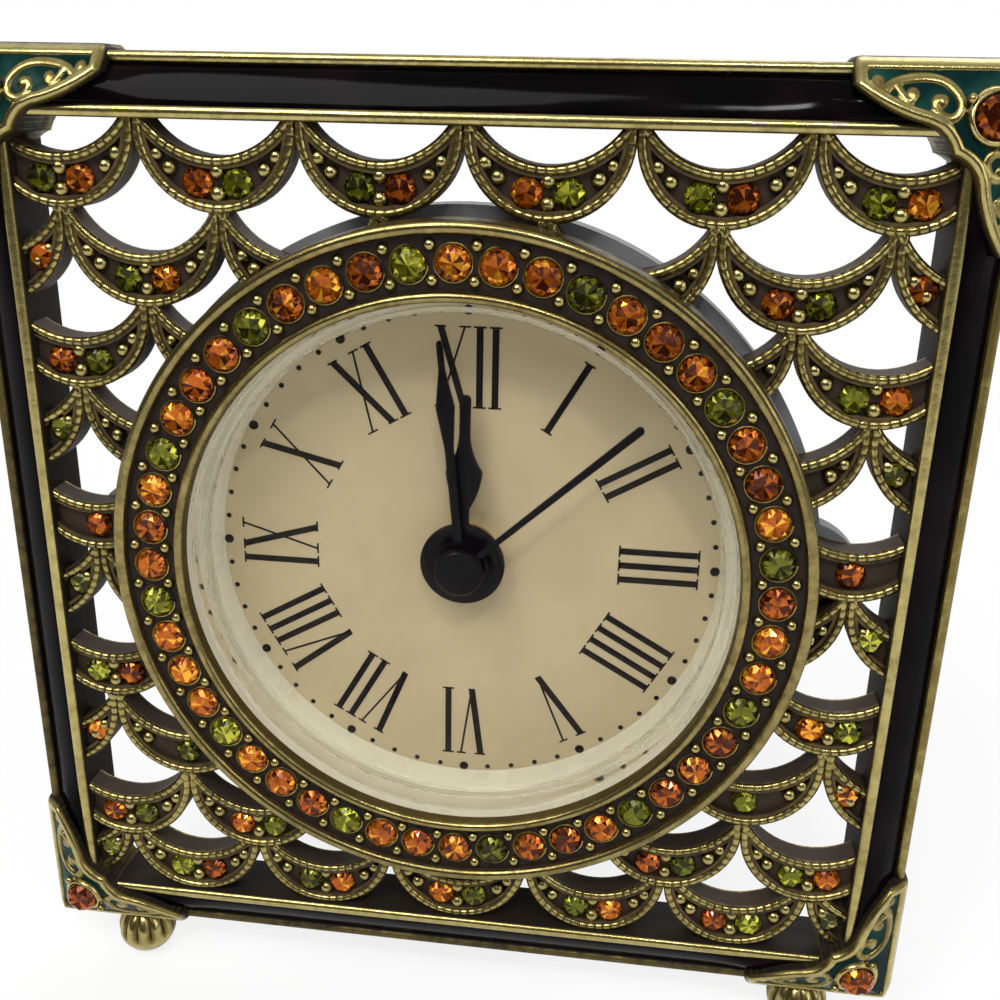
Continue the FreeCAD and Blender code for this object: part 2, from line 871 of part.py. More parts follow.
def hour_wheel():
    """Hour pipe with its wheel; it turns in the bushing and carries the hour hand."""
    module = module_of(motion_distance, pinion_teeth, hour_wheel_teeth)
    phase = meshed_phase(motion_deg + 180, pinion_teeth, motion_deg + 180, hour_wheel_teeth)
    wheel = gear(hour_wheel_teeth, module, hour_layer, 0, 0, phase)
    pipe = disc(hour_pipe_radius, hour_hand_front, hour_layer[1])
    return fused([wheel, pipe]).cut(disc(minute_bore, -overrun, overrun))


def intermediate_wheel(place):
    wheel_module = module_of(rotor_distance, pinion_teeth, intermediate_wheel_teeth)
    pinion_module = module_of(intermediate_distance, pinion_teeth, second_wheel_teeth)
    pinion_phase = meshed_phase(intermediate_deg, second_wheel_teeth, intermediate_deg, pinion_teeth)
    x, z = place
    return fused([
        plain_arbor(place),
        gear(intermediate_wheel_teeth, wheel_module, intermediate_layer, x, z, intermediate_deg),
        gear(pinion_teeth, pinion_module, intermediate_pinion_layer, x, z, pinion_phase),
    ])


def rotor(place):
    """Magnet and pinion of the step motor."""
    module = module_of(rotor_distance, pinion_teeth, intermediate_wheel_teeth)
    phase = meshed_phase(intermediate_deg, intermediate_wheel_teeth, intermediate_deg, pinion_teeth)
    return fused([
        plain_arbor(place),
        disc(rotor_magnet_radius, rotor_magnet_layer[0], rotor_magnet_layer[1], place[0], place[1]),
        gear(pinion_teeth, module, rotor_pinion_layer, place[0], place[1], phase),
    ])


def setting_knob(place):
    """Knob behind the cover, with its shaft and the wheel that turns the motion wheel."""
    motion_phase = meshed_phase(motion_deg, cannon_teeth, motion_deg, motion_wheel_teeth)
    phase = meshed_phase(motion_phase, motion_wheel_teeth, motion_deg, knob_wheel_teeth)
    knob_front = cover_back + knob_clearance
    knob_back = knob_front + knob_length
    shaft = disc(knob_shaft_radius, plate_front + pivot_end_gap, knob_back, place[0], place[1])
    wheel = gear(knob_wheel_teeth, motion_module(), motion_layer, place[0], place[1], phase)
    shape = fused([shaft, wheel, disc(knob_radius, knob_front, knob_back, place[0], place[1])])
    flutes = []
    for index in range(knob_flutes):
        dx, dz = polar(knob_radius, 360 * index / knob_flutes)
        flutes.append(disc(knob_flute_radius, knob_front, knob_back, place[0] + dx, place[1] + dz))
    return shape.cut(flutes)


def front_plate(places):
    """Plate behind the dial: bushing, motion post, pillars and the cup for the cell."""
    plate_radius = case_inside_radius - plate_fit
    shapes = [
        disc(plate_radius, plate_front, plate_back),
        disc(bushing_radius, dial_setback - bushing_reach, plate_front),
        disc(motion_post_radius, plate_back, motion_layer[1], *places["motion"]),
        disc(cell_radius + cell_gap + cup_wall, plate_back, cup_rim, cell_x, cell_z),
    ]
    for angle in pillar_deg:
        x, z = polar(pillar_circle, angle)
        shapes.append(disc(pillar_radius, plate_back, bridge_front, x, z))
    leg_middle = stator_half_width - stator_leg_width / 2
    for x in (-leg_middle, leg_middle):
        shapes.append(disc(stator_post_radius, plate_back, stator_layer[0], x, stator_post_height))
    shape = fused(shapes)
    holes = [
        disc(bushing_bore, -overrun, overrun),
        disc(cell_radius + cell_gap, cup_floor, overrun, cell_x, cell_z),
        disc(knob_shaft_radius + running_fit, -overrun, overrun, *places["knob"]),
    ]
    for name in ("third", "intermediate", "rotor"):
        holes.append(disc(arbor_radius + running_fit, -overrun, overrun, *places[name]))
    return shape.cut(holes)


def dial_nut():
    """Hexagon nut that holds the dial on the bushing."""
    corner = nut_across / 2 / math.cos(math.pi / 6)
    points = []
    for index in range(6):
        x, z = polar(corner, 60 * index)
        points.append(vec(x, dial_setback - nut_thickness, z))
    prism = closed_face(*points).extrude(vec(0, nut_thickness, 0))
    return prism.cut(disc(bushing_radius + nut_fit, -overrun, overrun))


def train_bridge(places):
    shape = disc(bridge_radius, bridge_front, bridge_back)
    shape = shape.common(block(-overrun, overrun, bridge_front, bridge_back, -overrun, bridge_top))
    holes = [
        disc(cell_radius + cell_gap + cup_wall + cell_gap, -overrun, overrun, cell_x, cell_z),
        disc(second_arbor_radius + running_fit, -overrun, overrun),
        disc(knob_shaft_radius + running_fit, -overrun, overrun, *places["knob"]),
    ]
    for name in ("third", "intermediate", "rotor"):
        holes.append(disc(arbor_radius + running_fit, -overrun, overrun, *places[name]))
    return shape.cut(holes)


def stator(places):
    """Soft-iron yoke round the rotor, with two legs to the coil's core."""
    x, z = places["rotor"]
    wide = stator_half_width
    bottom = z - stator_bottom_drop
    top = z + stator_bar_height
    leg_top = coil_height + coil_core_height / 2
    front, back = stator_layer
    shapes = [block(-wide, wide, front, back, bottom, top)]
    for left in (-wide, wide - stator_leg_width):
        shapes.append(block(left, left + stator_leg_width, front, back, bottom, leg_top))
    return fused(shapes).cut(disc(rotor_magnet_radius + stator_bore_gap, -overrun, overrun, x, z))


def coil_pieces():
    """Core on the stator's legs, bobbin round the core and winding round the bobbin."""
    core_front = stator_layer[1]
    core_half = coil_core_height / 2
    core = block(-stator_half_width, stator_half_width, core_front, core_front + coil_core_depth,
                 coil_height - core_half, coil_height + core_half)
    axis = core_front + coil_core_depth / 2
    reach = bobbin_half_length
    tube = bobbin_bore + bobbin_wall
    bobbin = fused([
        rod(tube, -reach, reach, axis, coil_height),
        rod(bobbin_flange_radius, -reach, -reach + bobbin_flange, axis, coil_height),
        rod(bobbin_flange_radius, reach - bobbin_flange, reach, axis, coil_height),
    ]).cut(rod(bobbin_bore, -overrun, overrun, axis, coil_height))
    end = reach - bobbin_flange - coil_gap
    winding = rod(coil_radius, -end, end, axis, coil_height)
    winding = winding.cut(rod(tube + coil_gap, -overrun, overrun, axis, coil_height))
    return core, bobbin, winding


def circuit_board():
    return block(board_left, board_right, bridge_back, bridge_back + board_thickness,
                 board_bottom, board_top)


def quartz_crystal():
    z = board_top - crystal_can_gap
    middle = (board_left + board_right) / 2
    left = middle - crystal_length / 2
    middle_depth = bridge_back + board_thickness + crystal_radius
    return rod(crystal_radius, left, left + crystal_length, middle_depth, z)


def button_cell():
    seat = cup_floor + contact_thickness
    can = disc(cell_radius, seat + cell_cap_height, seat + cell_height, cell_x, cell_z)
    return fused([can, disc(cell_cap_radius, seat, seat + cell_cap_height, cell_x, cell_z)])


def cell_contacts():
    """Flat spring under the cell, and a curved one between the cell and its cup."""
    half_width = contact_width / 2
    strip = block(cell_x - cell_cap_radius, cell_x + cell_cap_radius,
                  cup_floor, cup_floor + contact_thickness, cell_z - half_width, cell_z + half_width)
    inner = cell_radius + running_fit
    seat = cup_floor + contact_thickness + cell_cap_height
    clip = Part.makeCylinder(inner + contact_thickness, cup_rim - seat, vec(cell_x, seat, cell_z), ALONG_Y,
                             contact_arc_deg)
    clip = clip.cut(disc(inner, -overrun, overrun, cell_x, cell_z))
    return [strip, clip]


def door_body(left, back, gap):
    """Battery door with a tongue along its top and bottom edge, or with a gap the channel for it."""
    side = door_half_width + gap
    front = cover_back - door_thickness - gap
    tongue_back = front + door_tongue_thickness + 2 * gap
    tongue_side = side + door_tongue
    plate = block(left, cell_x + side, front, back, cell_z - side, cell_z + side)
    tongues = block(left, cell_x + side, front, tongue_back, cell_z - tongue_side, cell_z + tongue_side)
    return fused([plate, tongues])


def rear_cover(places):
    shape = disc(case_body_radius, cover_front, cover_back)
    holes = [
        disc(knob_shaft_radius + running_fit, -overrun, overrun, *places["knob"]),
        disc(cell_radius + door_well_gap, -overrun, overrun, cell_x, cell_z),
        door_body(-overrun, overrun, door_gap),
    ]
    for angle in cover_boss_deg:
        x, z = polar(cover_boss_circle, angle)
        holes.append(disc(cover_screw_radius + screw_fit, -overrun, overrun, x, z))
    holes.extend(bracket_screw_holes())
    return shape.cut(holes)


def bracket_screw_holes():
    z = hinge_height - bracket_screw_drop
    return [disc(bracket_screw_radius + screw_fit, -overrun, overrun, x, z)
            for x in (-bracket_screw_half_pitch, bracket_screw_half_pitch)]


def battery_door():
    """Sliding door with three thumb ridges."""
    shapes = [door_body(cell_x - door_half_width, cover_back, 0)]
    for index in (-1, 0, 1):
        left = cell_x + index * door_ridge_pitch - door_ridge_width / 2
        shapes.append(block(left, left + door_ridge_width, cover_back, cover_back + door_ridge_height,
                            cell_z - door_ridge_half_length, cell_z + door_ridge_half_length))
    return fused(shapes)


def strut_bracket():
    """Plate on the cover with two ears for the hinge pin."""
    inner = strut_half_width + strut_side_gap
    outer = inner + bracket_ear_thickness
    plate_top = cover_back + bracket_plate_thickness
    shapes = [block(-outer, outer, cover_back, plate_top, hinge_height - bracket_plate_below,
                    hinge_height + bracket_plate_above)]
    for left in (-outer, inner):
        right = left + bracket_ear_thickness
        shapes.append(rod(bracket_ear_radius, left, right, hinge_back, hinge_height))
        shapes.append(block(left, right, cover_back, hinge_back, hinge_height - bracket_ear_radius,
                            hinge_height + bracket_ear_radius))
    shape = fused(shapes)
    holes = [rod(hinge_pin_radius + hinge_pin_fit, -overrun, overrun, hinge_back, hinge_height)]
    return shape.cut(holes + bracket_screw_holes())


def bracket_screws():
    seat = cover_back + bracket_plate_thickness
    length = bracket_plate_thickness + cover_thickness
    z = hinge_height - bracket_screw_drop
    return [screw(bracket_screw_radius, bracket_screw_head_radius, bracket_screw_head, length, x, z, seat)
            for x in (-bracket_screw_half_pitch, bracket_screw_half_pitch)]


def hinge_pin():
    reach = strut_half_width + strut_side_gap + bracket_ear_thickness
    return fused([
        rod(hinge_pin_radius, -reach, reach + pin_head, hinge_back, hinge_height),
        rod(pin_head_radius, -reach - pin_head, -reach, hinge_back, hinge_height),
    ])


def floor_drop():
    """Height of the hands' axis over the floor, once the clock leans back on its feet."""
    lean = math.radians(lean_deg)
    foot_z = -bracket_edge - foot_drop
    return foot_radius - foot_flat + foot_setback * math.sin(lean) - foot_z * math.cos(lean)


def strut():
    """Leg that hangs down from the pin, opened backwards until it meets the floor."""
    lean = math.radians(lean_deg)
    hinge_over_floor = floor_drop() + hinge_height * math.cos(lean) - hinge_back * math.sin(lean)
    length = hinge_over_floor / math.cos(math.radians(strut_open_deg) - lean) + strut_thickness
    knuckle_radius = hinge_pin_radius + running_fit + strut_knuckle_wall
    front = hinge_back - strut_thickness / 2
    wide, narrow = strut_half_width, strut_foot_half_width
    foot = hinge_height - length
    leg = closed_face(
        vec(-wide, front, hinge_height),
        vec(-narrow, front, foot),
        vec(narrow, front, foot),
        vec(wide, front, hinge_height),
    ).extrude(vec(0, strut_thickness, 0))
    opened = math.radians(strut_open_deg)
    room = hinge_standoff - bracket_plate_thickness - strut_heel_gap - strut_thickness / 2 * math.cos(opened)
    heel = room / math.sin(opened)
    heel_block = block(-narrow, narrow, front, front + strut_thickness, hinge_height, hinge_height + heel)
    shape = fused([leg, heel_block, rod(knuckle_radius, -wide, wide, hinge_back, hinge_height)])
    shape = shape.cut(rod(hinge_pin_radius + running_fit, -overrun, overrun, hinge_back, hinge_height))
    shape.rotate(vec(0, hinge_back, hinge_height), ALONG_X, strut_open_deg)
    return shape


def hand(outline_face, hub, front, pipe, degrees):
    """Flat hand that points up, pressed on its pipe and turned to its place on the dial."""
    blade = outline_face.extrude(vec(0, hand_thickness, 0))
    shape = fused([blade, disc(hub, front, front + hand_thickness)]).cut(disc(pipe, -overrun, overrun))
    return turned_about_y(shape, degrees)


def hour_hand():
    length, front = hour_hand_length, hour_hand_front

    def at(half_width, share):
        return vec(half_width, front, share * length)

    tip = hour_tip_half
    face = closed_face(
        at(-hour_stem_half, 0),
        at(-hour_stem_half, hour_stem_share),
        (at(-hour_swell_half, hour_swell_share), at(-hour_pear_half, hour_pear_share)),
        (at(-hour_taper_half, hour_taper_share), at(-tip, hour_neck_share)),
        vec(-tip, front, length - tip),
        (vec(0, front, length), vec(tip, front, length - tip)),
        at(tip, hour_neck_share),
        (at(hour_taper_half, hour_taper_share), at(hour_pear_half, hour_pear_share)),
        (at(hour_swell_half, hour_swell_share), at(hour_stem_half, hour_stem_share)),
        at(hour_stem_half, 0),
    )
    return hand(face, hour_hub_radius, front, hour_pipe_radius, hour_hand_deg)


def minute_hand():
    length, front = minute_hand_length, minute_hand_front
    stem, diamond, tip = minute_stem_half, minute_diamond_half, minute_tip_half
    shares = (0, minute_neck_share, minute_diamond_share, minute_taper_share)
    points = [vec(-wide, front, share * length) for wide, share in zip((stem, stem, diamond, tip), shares)]
    right = [vec(-point.x, front, point.z) for point in reversed(points)]
    points.append(vec(-tip, front, length - tip))
    cap = (vec(0, front, length), vec(tip, front, length - tip))
    face = closed_face(*points, cap, *right)
    return hand(face, minute_hub_radius, front, minute_pipe_radius, minute_hand_deg)


def second_hand():
    """Thin hand with a domed cap that hides the arbors."""
    length, front = second_hand_length, second_hand_front
    tip, root = second_tip_half, second_hub_half
    face = closed_face(
        vec(-root, front, 0),
        vec(-tip, front, length - tip),
        (vec(0, front, length), vec(tip, front, length - tip)),
        vec(root, front, 0),
    )
    blade = face.extrude(vec(0, second_hand_thickness, 0))
    cap_front = front - cap_rise
    cap_section = closed_face(
        vec(0, front + second_hand_thickness, 0),
        vec(0, cap_front, 0),
        vec(cap_radius - cap_rise / 2, cap_front, 0),
        (vec(cap_radius - cap_rise / 4, cap_front + cap_rise / 4, 0),
         vec(cap_radius, cap_front + cap_rise, 0)),
        vec(cap_radius, front + second_hand_thickness, 0),
    )
    shape = fused([blade, turned(cap_section)])
    shape = shape.cut(disc(second_arbor_radius, second_hand_front, overrun))
    return turned_about_y(shape, second_hand_deg)


def ball_foot(side):
    """Fluted ball with a short neck, fixed under a lower bracket."""
    x = side * foot_reach
    z = -bracket_edge - foot_drop
    middle = vec(x, foot_setback, z)
    top = vec(x, foot_setback, z + foot_radius)
    bottom = vec(x, foot_setback, z - foot_radius)
    ball = closed_face(bottom, (vec(x + foot_radius, foot_setback, z), top)).revolve(middle, ALONG_Z, 360)
    flutes = []
    for index in range(foot_flutes):
        dx, dy = polar(foot_radius, 360 * (index + 0.5) / foot_flutes)
        place = vec(x + dx, foot_setback + dy, z - foot_flute_drop)
        flutes.append(Part.makeCylinder(foot_flute_radius, foot_radius, place, ALONG_Z))
    neck = Part.makeCylinder(foot_neck_radius, -bracket_edge - z, middle, ALONG_Z)
    above = block(-overrun, overrun, -overrun, overrun, -bracket_edge, overrun)
    shape = fused([ball.cut(flutes), neck]).cut(above)
    return shape.cut(foot_stud(side, screw_fit))


def foot_stud(side, fit=0):
    """Plain stud from the ball up into the rail."""
    bottom = -bracket_edge - foot_drop - foot_radius / 2 - fit
    height = -frame_edge + stud_length + fit - bottom
    place = vec(side * foot_reach, foot_setback, bottom)
    return Part.makeCylinder(stud_radius + fit, height, place, ALONG_Z)


def build():
    """Every node's solids, in the clock's own frame."""
    places = train_places()
    frame = square_frame()
    bands = enamel_bands()
    bracket, field, stone = corner_pieces(frame, bands)
    corners = ("top_right", "bottom_right", "bottom_left", "top_left")
    studs = [foot_stud(side) for side in (-1, 1)]
    stud_holes = [foot_stud(side, screw_fit) for side in (-1, 1)]
    nodes = {"square_frame": [frame.cut(stud_holes)]}
    nodes["black_enamel_bands"] = [band.cut(stud_holes) for band in bands]
    for index, corner in enumerate(corners):
        nodes["corner_bracket_" + corner] = [turned_about_y(bracket, 90 * index).cut(stud_holes)]
    nodes["teal_enamel_fields"] = [turned_about_y(field, 90 * index) for index in range(4)]
    nodes["corner_stones"] = [turned_about_y(stone, 90 * index) for index in range(4)]
    nodes["scale_grille"] = [scale_grille()]
    nodes["grille_stones_amber"] = grille_stones("A")
    nodes["grille_stones_green"] = grille_stones("G")
    nodes["bezel_ring"] = [bezel_ring()]
    nodes["bezel_stones_amber"], nodes["bezel_stones_green"] = bezel_stones()
    nodes["lens"] = [lens()]
    nodes["reflector_ring"] = [reflector_ring()]
    nodes["dial"] = [dial()]
    nodes["dial_nut"] = [dial_nut()]
    nodes["movement_case"] = [movement_case()]
    nodes["case_screws"] = case_screws()
    nodes["front_plate"] = [front_plate(places)]
    nodes["train_bridge"] = [train_bridge(places)]
    nodes["second_wheel"] = [second_wheel()]
    nodes["third_wheel"] = [third_wheel(places["third"])]
    nodes["centre_wheel"] = [centre_wheel()]
    nodes["cannon_pinion"] = [cannon_pinion()]
    nodes["motion_wheel"] = [motion_wheel(places["motion"])]
    nodes["hour_wheel"] = [hour_wheel()]
    nodes["intermediate_wheel"] = [intermediate_wheel(places["intermediate"])]
    nodes["rotor"] = [rotor(places["rotor"])]
    nodes["stator"] = [stator(places)]
    core, bobbin, winding = coil_pieces()
    nodes["coil_core"] = [core]
    nodes["coil_bobbin"] = [bobbin]
    nodes["coil_winding"] = [winding]
    nodes["circuit_board"] = [circuit_board()]
    nodes["quartz_crystal"] = [quartz_crystal()]
    nodes["button_cell"] = [button_cell()]
    nodes["cell_contacts"] = cell_contacts()
    nodes["rear_cover"] = [rear_cover(places)]
    nodes["cover_screws"] = cover_screws()
    nodes["battery_door"] = [battery_door()]
    nodes["setting_knob"] = [setting_knob(places["knob"])]
    nodes["strut_bracket"] = [strut_bracket()]
    nodes["bracket_screws"] = bracket_screws()
    nodes["hinge_pin"] = [hinge_pin()]
    nodes["strut"] = [strut()]
    nodes["hour_hand"] = [hour_hand()]
    nodes["minute_hand"] = [minute_hand()]
    nodes["second_hand"] = [second_hand()]
    nodes["foot_left"] = [ball_foot(-1)]
    nodes["foot_right"] = [ball_foot(1)]
    nodes["foot_studs"] = studs
    return nodes, places


def stand(thing):
    """Lean a shape or a point back, and set it on the floor."""
    if isinstance(thing, FreeCAD.Vector):
        turn = FreeCAD.Rotation(ALONG_X, -lean_deg)
        return turn.multVec(thing) + vec(0, 0, floor_drop())
    copy = thing.copy()
    copy.rotate(ORIGIN, ALONG_X, -lean_deg)
    copy.translate(vec(0, 0, floor_drop()))
    return copy


def main():
    os.makedirs("parts", exist_ok=True)
    nodes, places = build()
    below_floor = block(-overrun, overrun, -overrun, overrun, -overrun, 0)
    standing = {}
    for name, solids in nodes.items():
        shapes = [stand(solid) for solid in solids]
        if name in ("foot_left", "foot_right", "strut"):
            shapes = [shape.cut(below_floor) for shape in shapes]
        standing[name] = Part.makeCompound(shapes)
    box = Part.makeCompound(list(standing.values())).optimalBoundingBox(False, False)
    shift = vec(0, -(box.YMin + box.YMax) / 2, 0)
    for name, shape in standing.items():
        shape.translate(shift)
        shape.exportStep("parts/" + name + ".step")
        solids = shape.Solids
        state = "valid" if shape.isValid() else "INVALID"
        print(name, len(solids), "solids", round(sum(solid.Volume for solid in solids), 3), "mm3", state)
    joints = {"centre": ORIGIN, "hinge": vec(0, hinge_back, hinge_height)}
    joints.update({name: vec(place[0], 0, place[1]) for name, place in places.items()})
    for name, point in joints.items():
        placed = stand(point) + shift
        print("joint point", name, round(placed.x, 4), round(placed.y, 4), round(placed.z, 4))
    for name, node in (("left", "foot_left"), ("right", "foot_right"), ("strut", "strut")):
        face = min(standing[node].Faces, key=lambda face: face.BoundBox.ZMax)
        place = face.CenterOfMass
        print("flat face", name, round(place.x, 4), round(place.y, 4), round(place.z, 4))
    print("shift", round(shift.y, 4), "floor drop", round(floor_drop(), 4), "lean", lean_deg)
    print("strut folds by", strut_swing_deg, "degrees and the door slides by", door_travel)
    print("box", [round(v, 3) for v in (box.XLength, box.YLength, box.ZLength)])


main()
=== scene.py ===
"""Looks of a small jewelled square desk clock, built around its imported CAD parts."""
import json
import logging
import math
from dataclasses import dataclass, field
from enum import Enum

import bmesh
import bpy
import numpy as np
from bpy.types import ID, Material, Mesh, Node, NodeSocket, NodeTree, Object
from mathutils import Matrix, Vector


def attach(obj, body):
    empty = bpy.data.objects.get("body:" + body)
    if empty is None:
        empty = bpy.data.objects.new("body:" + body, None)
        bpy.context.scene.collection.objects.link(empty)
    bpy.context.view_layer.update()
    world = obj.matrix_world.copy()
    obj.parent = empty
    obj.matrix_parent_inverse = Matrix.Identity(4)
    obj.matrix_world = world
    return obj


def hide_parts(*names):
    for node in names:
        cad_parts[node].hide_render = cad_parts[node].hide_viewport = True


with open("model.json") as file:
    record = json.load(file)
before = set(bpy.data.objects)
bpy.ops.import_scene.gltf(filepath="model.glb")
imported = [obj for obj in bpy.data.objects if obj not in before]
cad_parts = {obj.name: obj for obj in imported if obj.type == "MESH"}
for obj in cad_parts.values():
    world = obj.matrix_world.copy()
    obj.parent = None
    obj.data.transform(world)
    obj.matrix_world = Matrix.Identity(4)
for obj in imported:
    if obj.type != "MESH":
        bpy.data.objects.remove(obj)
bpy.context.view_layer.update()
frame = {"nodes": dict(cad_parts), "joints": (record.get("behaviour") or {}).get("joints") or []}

LOG = logging.getLogger("clock")
MM = 0.001
Colour = tuple[float, float, float]
Point = tuple[float, float, float]
Array = np.ndarray

# Sizes shared by several pieces, in mm: X to the right, Z up and Y back from the frame's inner rim
HALF_OPENING = 39.0
RAIL_WIDTH = 5.3
BRACKET_EDGE = 44.8
BRACKET_LEG = 14.7
BEZEL_RADIUS = 31.9
GRILLE_FRONT = 0.9
GRILLE_FLOOR = 1.5
DIAL_FRONT = 4.8


class Spindle:
    """The clock's own frame, read from the joint that carries the second hand."""

    def __init__(self) -> None:
        """Find the joint and the turn from the clock's own directions to the row frame."""
        joint = next(j for j in frame["joints"] if j["name"] == "second_spin")
        across = Vector((1, 0, 0))
        self.back = Vector(joint["axis"]).normalized()
        self.origin = Vector(joint["pos_m"])
        self.turn = np.array(Matrix((across, self.back, across.cross(self.back))).transposed())

    def place(self, points: Array) -> Array:
        """Move local mm points to the row frame.

        Args:
            points: rows of X, Y and Z in mm.

        Returns:
            The same rows in metres.
        """
        return np.asarray(points, float) @ self.turn.T * MM + np.array(self.origin)


SPINDLE = Spindle()


class Mask(Enum):
    """Where an antiqued metal takes its tarnish from."""

    ATTRIBUTE = "tarnish"
    DEPTH = "depth"
    NONE = "none"


class Tree:
    """A node tree with short calls to add and link nodes."""

    def __init__(self, tree: NodeTree) -> None:
        """Keep the tree that the nodes go into."""
        self.tree = tree

    def add(self, kind: str, inputs: dict | None = None, **settings: object) -> Node:
        """Add a node, set its properties and fill its inputs.

        Args:
            kind: Blender's name of the node type.
            inputs: value or socket to link, by input name or index.
            settings: node properties to set.

        Returns:
            The new node.
        """
        node = self.tree.nodes.new(kind)
        for key, value in settings.items():
            setattr(node, key, value)
        self.fill(node, inputs or {})
        return node

    def fill(self, node: Node, inputs: dict) -> None:
        """Link sockets to a node's inputs, or set plain values on them.

        Args:
            node: the node.
            inputs: value or socket to link, by input name or index.
        """
        for key, value in inputs.items():
            socket = node.inputs[key]
            if isinstance(value, NodeSocket):
                self.tree.links.new(value, socket)
            elif isinstance(value, tuple) and len(value) == 3 and socket.type == "RGBA":
                socket.default_value = (*value, 1.0)
            else:
                socket.default_value = value

    def coords(self) -> NodeSocket:
        """Object coordinates."""
        return self.add("ShaderNodeTexCoord").outputs["Object"]

    def math(self, operation: str, *values: object, clamp: bool = False) -> NodeSocket:
        """Add a Math node and return its output."""
        return self.add("ShaderNodeMath", dict(enumerate(values)), operation=operation, use_clamp=clamp).outputs[0]

    def remap(self, value: object, low: float, high: float, to_low: float = 0.0,
              to_high: float = 1.0) -> NodeSocket:
        """Map a range of values smoothly to another one and return the result."""
        inputs = {0: value, 1: low, 2: high, 3: to_low, 4: to_high}
        return self.add("ShaderNodeMapRange", inputs, interpolation_type="SMOOTHSTEP").outputs[0]

    def mix(self, share: object, first: object, second: object) -> NodeSocket:
        """Mix two colours and return the result."""
        return self.add("ShaderNodeMix", {0: share, 6: first, 7: second}, data_type="RGBA").outputs[2]

    def noise(self, scale: object, detail: float = 3.0, rough: float = 0.55,
              coords: object = None) -> NodeSocket:
        """Add noise on Object coordinates and return its value."""
        inputs = {"Vector": coords or self.coords(), "Scale": scale, "Detail": detail, "Roughness": rough}
        return self.add("ShaderNodeTexNoise", inputs).outputs[0]

    def bump(self, height: object, strength: float, distance: float) -> NodeSocket:
        """Add a Bump node and return its normal."""
        return self.add("ShaderNodeBump", {"Height": height, "Strength": strength, "Distance": distance}).outputs[0]

    def mix_shaders(self, share: object, first: Node, second: Node) -> None:
        """Mix two shaders into the material's output."""
        blend = self.add("ShaderNodeMixShader", {0: share, 1: first.outputs[0], 2: second.outputs[0]})
        self.fill(self.tree.nodes["Material Output"], {"Surface": blend.outputs[0]})


def new_group(name: str, inputs: dict[str, tuple[str, object]], outputs: dict[str, str],
              family: str = "ShaderNodeTree") -> tuple[NodeTree, Tree, Node]:
    """Start a node group.

    Args:
        name: the group's name.
        inputs: socket kind and default value by name; None keeps the kind's own default.
        outputs: socket kind by name.
        family: type of the tree.

    Returns:
        The group, the helper that fills it, and the node with its inputs.
    """
    group = bpy.data.node_groups.new(name, family)
    for key, (kind, value) in inputs.items():
        socket = group.interface.new_socket(name=key, in_out="INPUT", socket_type="NodeSocket" + kind)
        if value is not None:
            socket.default_value = (*value, 1.0) if kind == "Color" else value
    for key, kind in outputs.items():
        group.interface.new_socket(name=key, in_out="OUTPUT", socket_type="NodeSocket" + kind)
    tree = Tree(group)
    return group, tree, tree.add("NodeGroupInput")


class SharedEffects:
    """Node groups that more than one material uses."""

    def __init__(self) -> None:
        """Build the groups once."""
        self.antique = self._antique()
        self.grain = self._grain()

    @staticmethod
    def _antique() -> NodeTree:
        """Metal worn bright on its high places and dark in its low ones.

        Returns:
            The group.
        """
        group, tree, source = new_group(
            "antique_wear",
            {"Bright": ("Color", (1, 1, 1)), "Body": ("Color", (1, 1, 1)),
             "Dark": ("Color", (0, 0, 0)), "Tarnish": ("Float", 0.3),
             "Scale": ("Float", 900.0)},
            {"Color": "Color", "Roughness": "Float", "Metallic": "Float",
             "Height": "Float"})
        given, coords = source.outputs, tree.coords()
        fine = tree.noise(given["Scale"], 5.0, 0.62, coords)
        broad = tree.noise(170.0, 3.0, 0.6, coords)
        level = tree.math("ADD", given["Tarnish"], tree.math("MULTIPLY_ADD", fine, 0.5, -0.25))
        level = tree.math("ADD", level, tree.math("MULTIPLY_ADD", broad, 0.36, -0.18))
        gold = tree.mix(tree.remap(level, 0.02, 0.42), given["Bright"], given["Body"])
        dark = tree.remap(level, 0.42, 0.86)
        polish = tree.remap(level, 0.0, 1.0, 0.2, 0.56)
        tree.add("NodeGroupOutput", {
            "Color": tree.mix(dark, gold, given["Dark"]),
            "Roughness": tree.math("ADD", polish, tree.math("MULTIPLY_ADD", fine, 0.2, -0.1)),
            "Metallic": tree.remap(dark, 0.0, 1.0, 1.0, 0.0),
            "Height": tree.math("ADD", fine, tree.math("MULTIPLY", broad, 0.6))})
        return group

    @staticmethod
    def _grain() -> NodeTree:
        """Fine moulded or printed grain with a little dust.

        Returns:
            The group.
        """
        group, tree, source = new_group(
            "fine_grain", {"Color": ("Color", (1, 1, 1)), "Rough": ("Float", 0.5),
                           "Scale": ("Float", 2500.0), "Spread": ("Float", 0.15)},
            {"Color": "Color", "Roughness": "Float", "Height": "Float"})
        given, coords = source.outputs, tree.coords()
        fine = tree.noise(given["Scale"], 2.0, 0.5, coords)
        broad = tree.noise(120.0, 4.0, 0.6, coords)
        shift = tree.math("MULTIPLY", tree.math("SUBTRACT", broad, 0.5), given["Spread"])
        light = tree.math("ADD", tree.math("MULTIPLY", shift, 2.0), 1.0)
        scaled = tree.add("ShaderNodeVectorMath", {0: given["Color"], 3: light}, operation="SCALE").outputs[0]
        tree.add("NodeGroupOutput", {"Color": scaled, "Roughness": tree.math("ADD", given["Rough"], shift),
                                     "Height": fine})
        return group


EFFECTS = SharedEffects()


def new_material(name: str) -> tuple[Material, Tree, Node]:
    """Start a material.

    Args:
        name: the material's name.

    Returns:
        The material, the helper for its tree, and its Principled shader.
    """
    material = bpy.data.materials.new(name)
    material.use_nodes = True
    tree = Tree(material.node_tree)
    return material, tree, material.node_tree.nodes["Principled BSDF"]


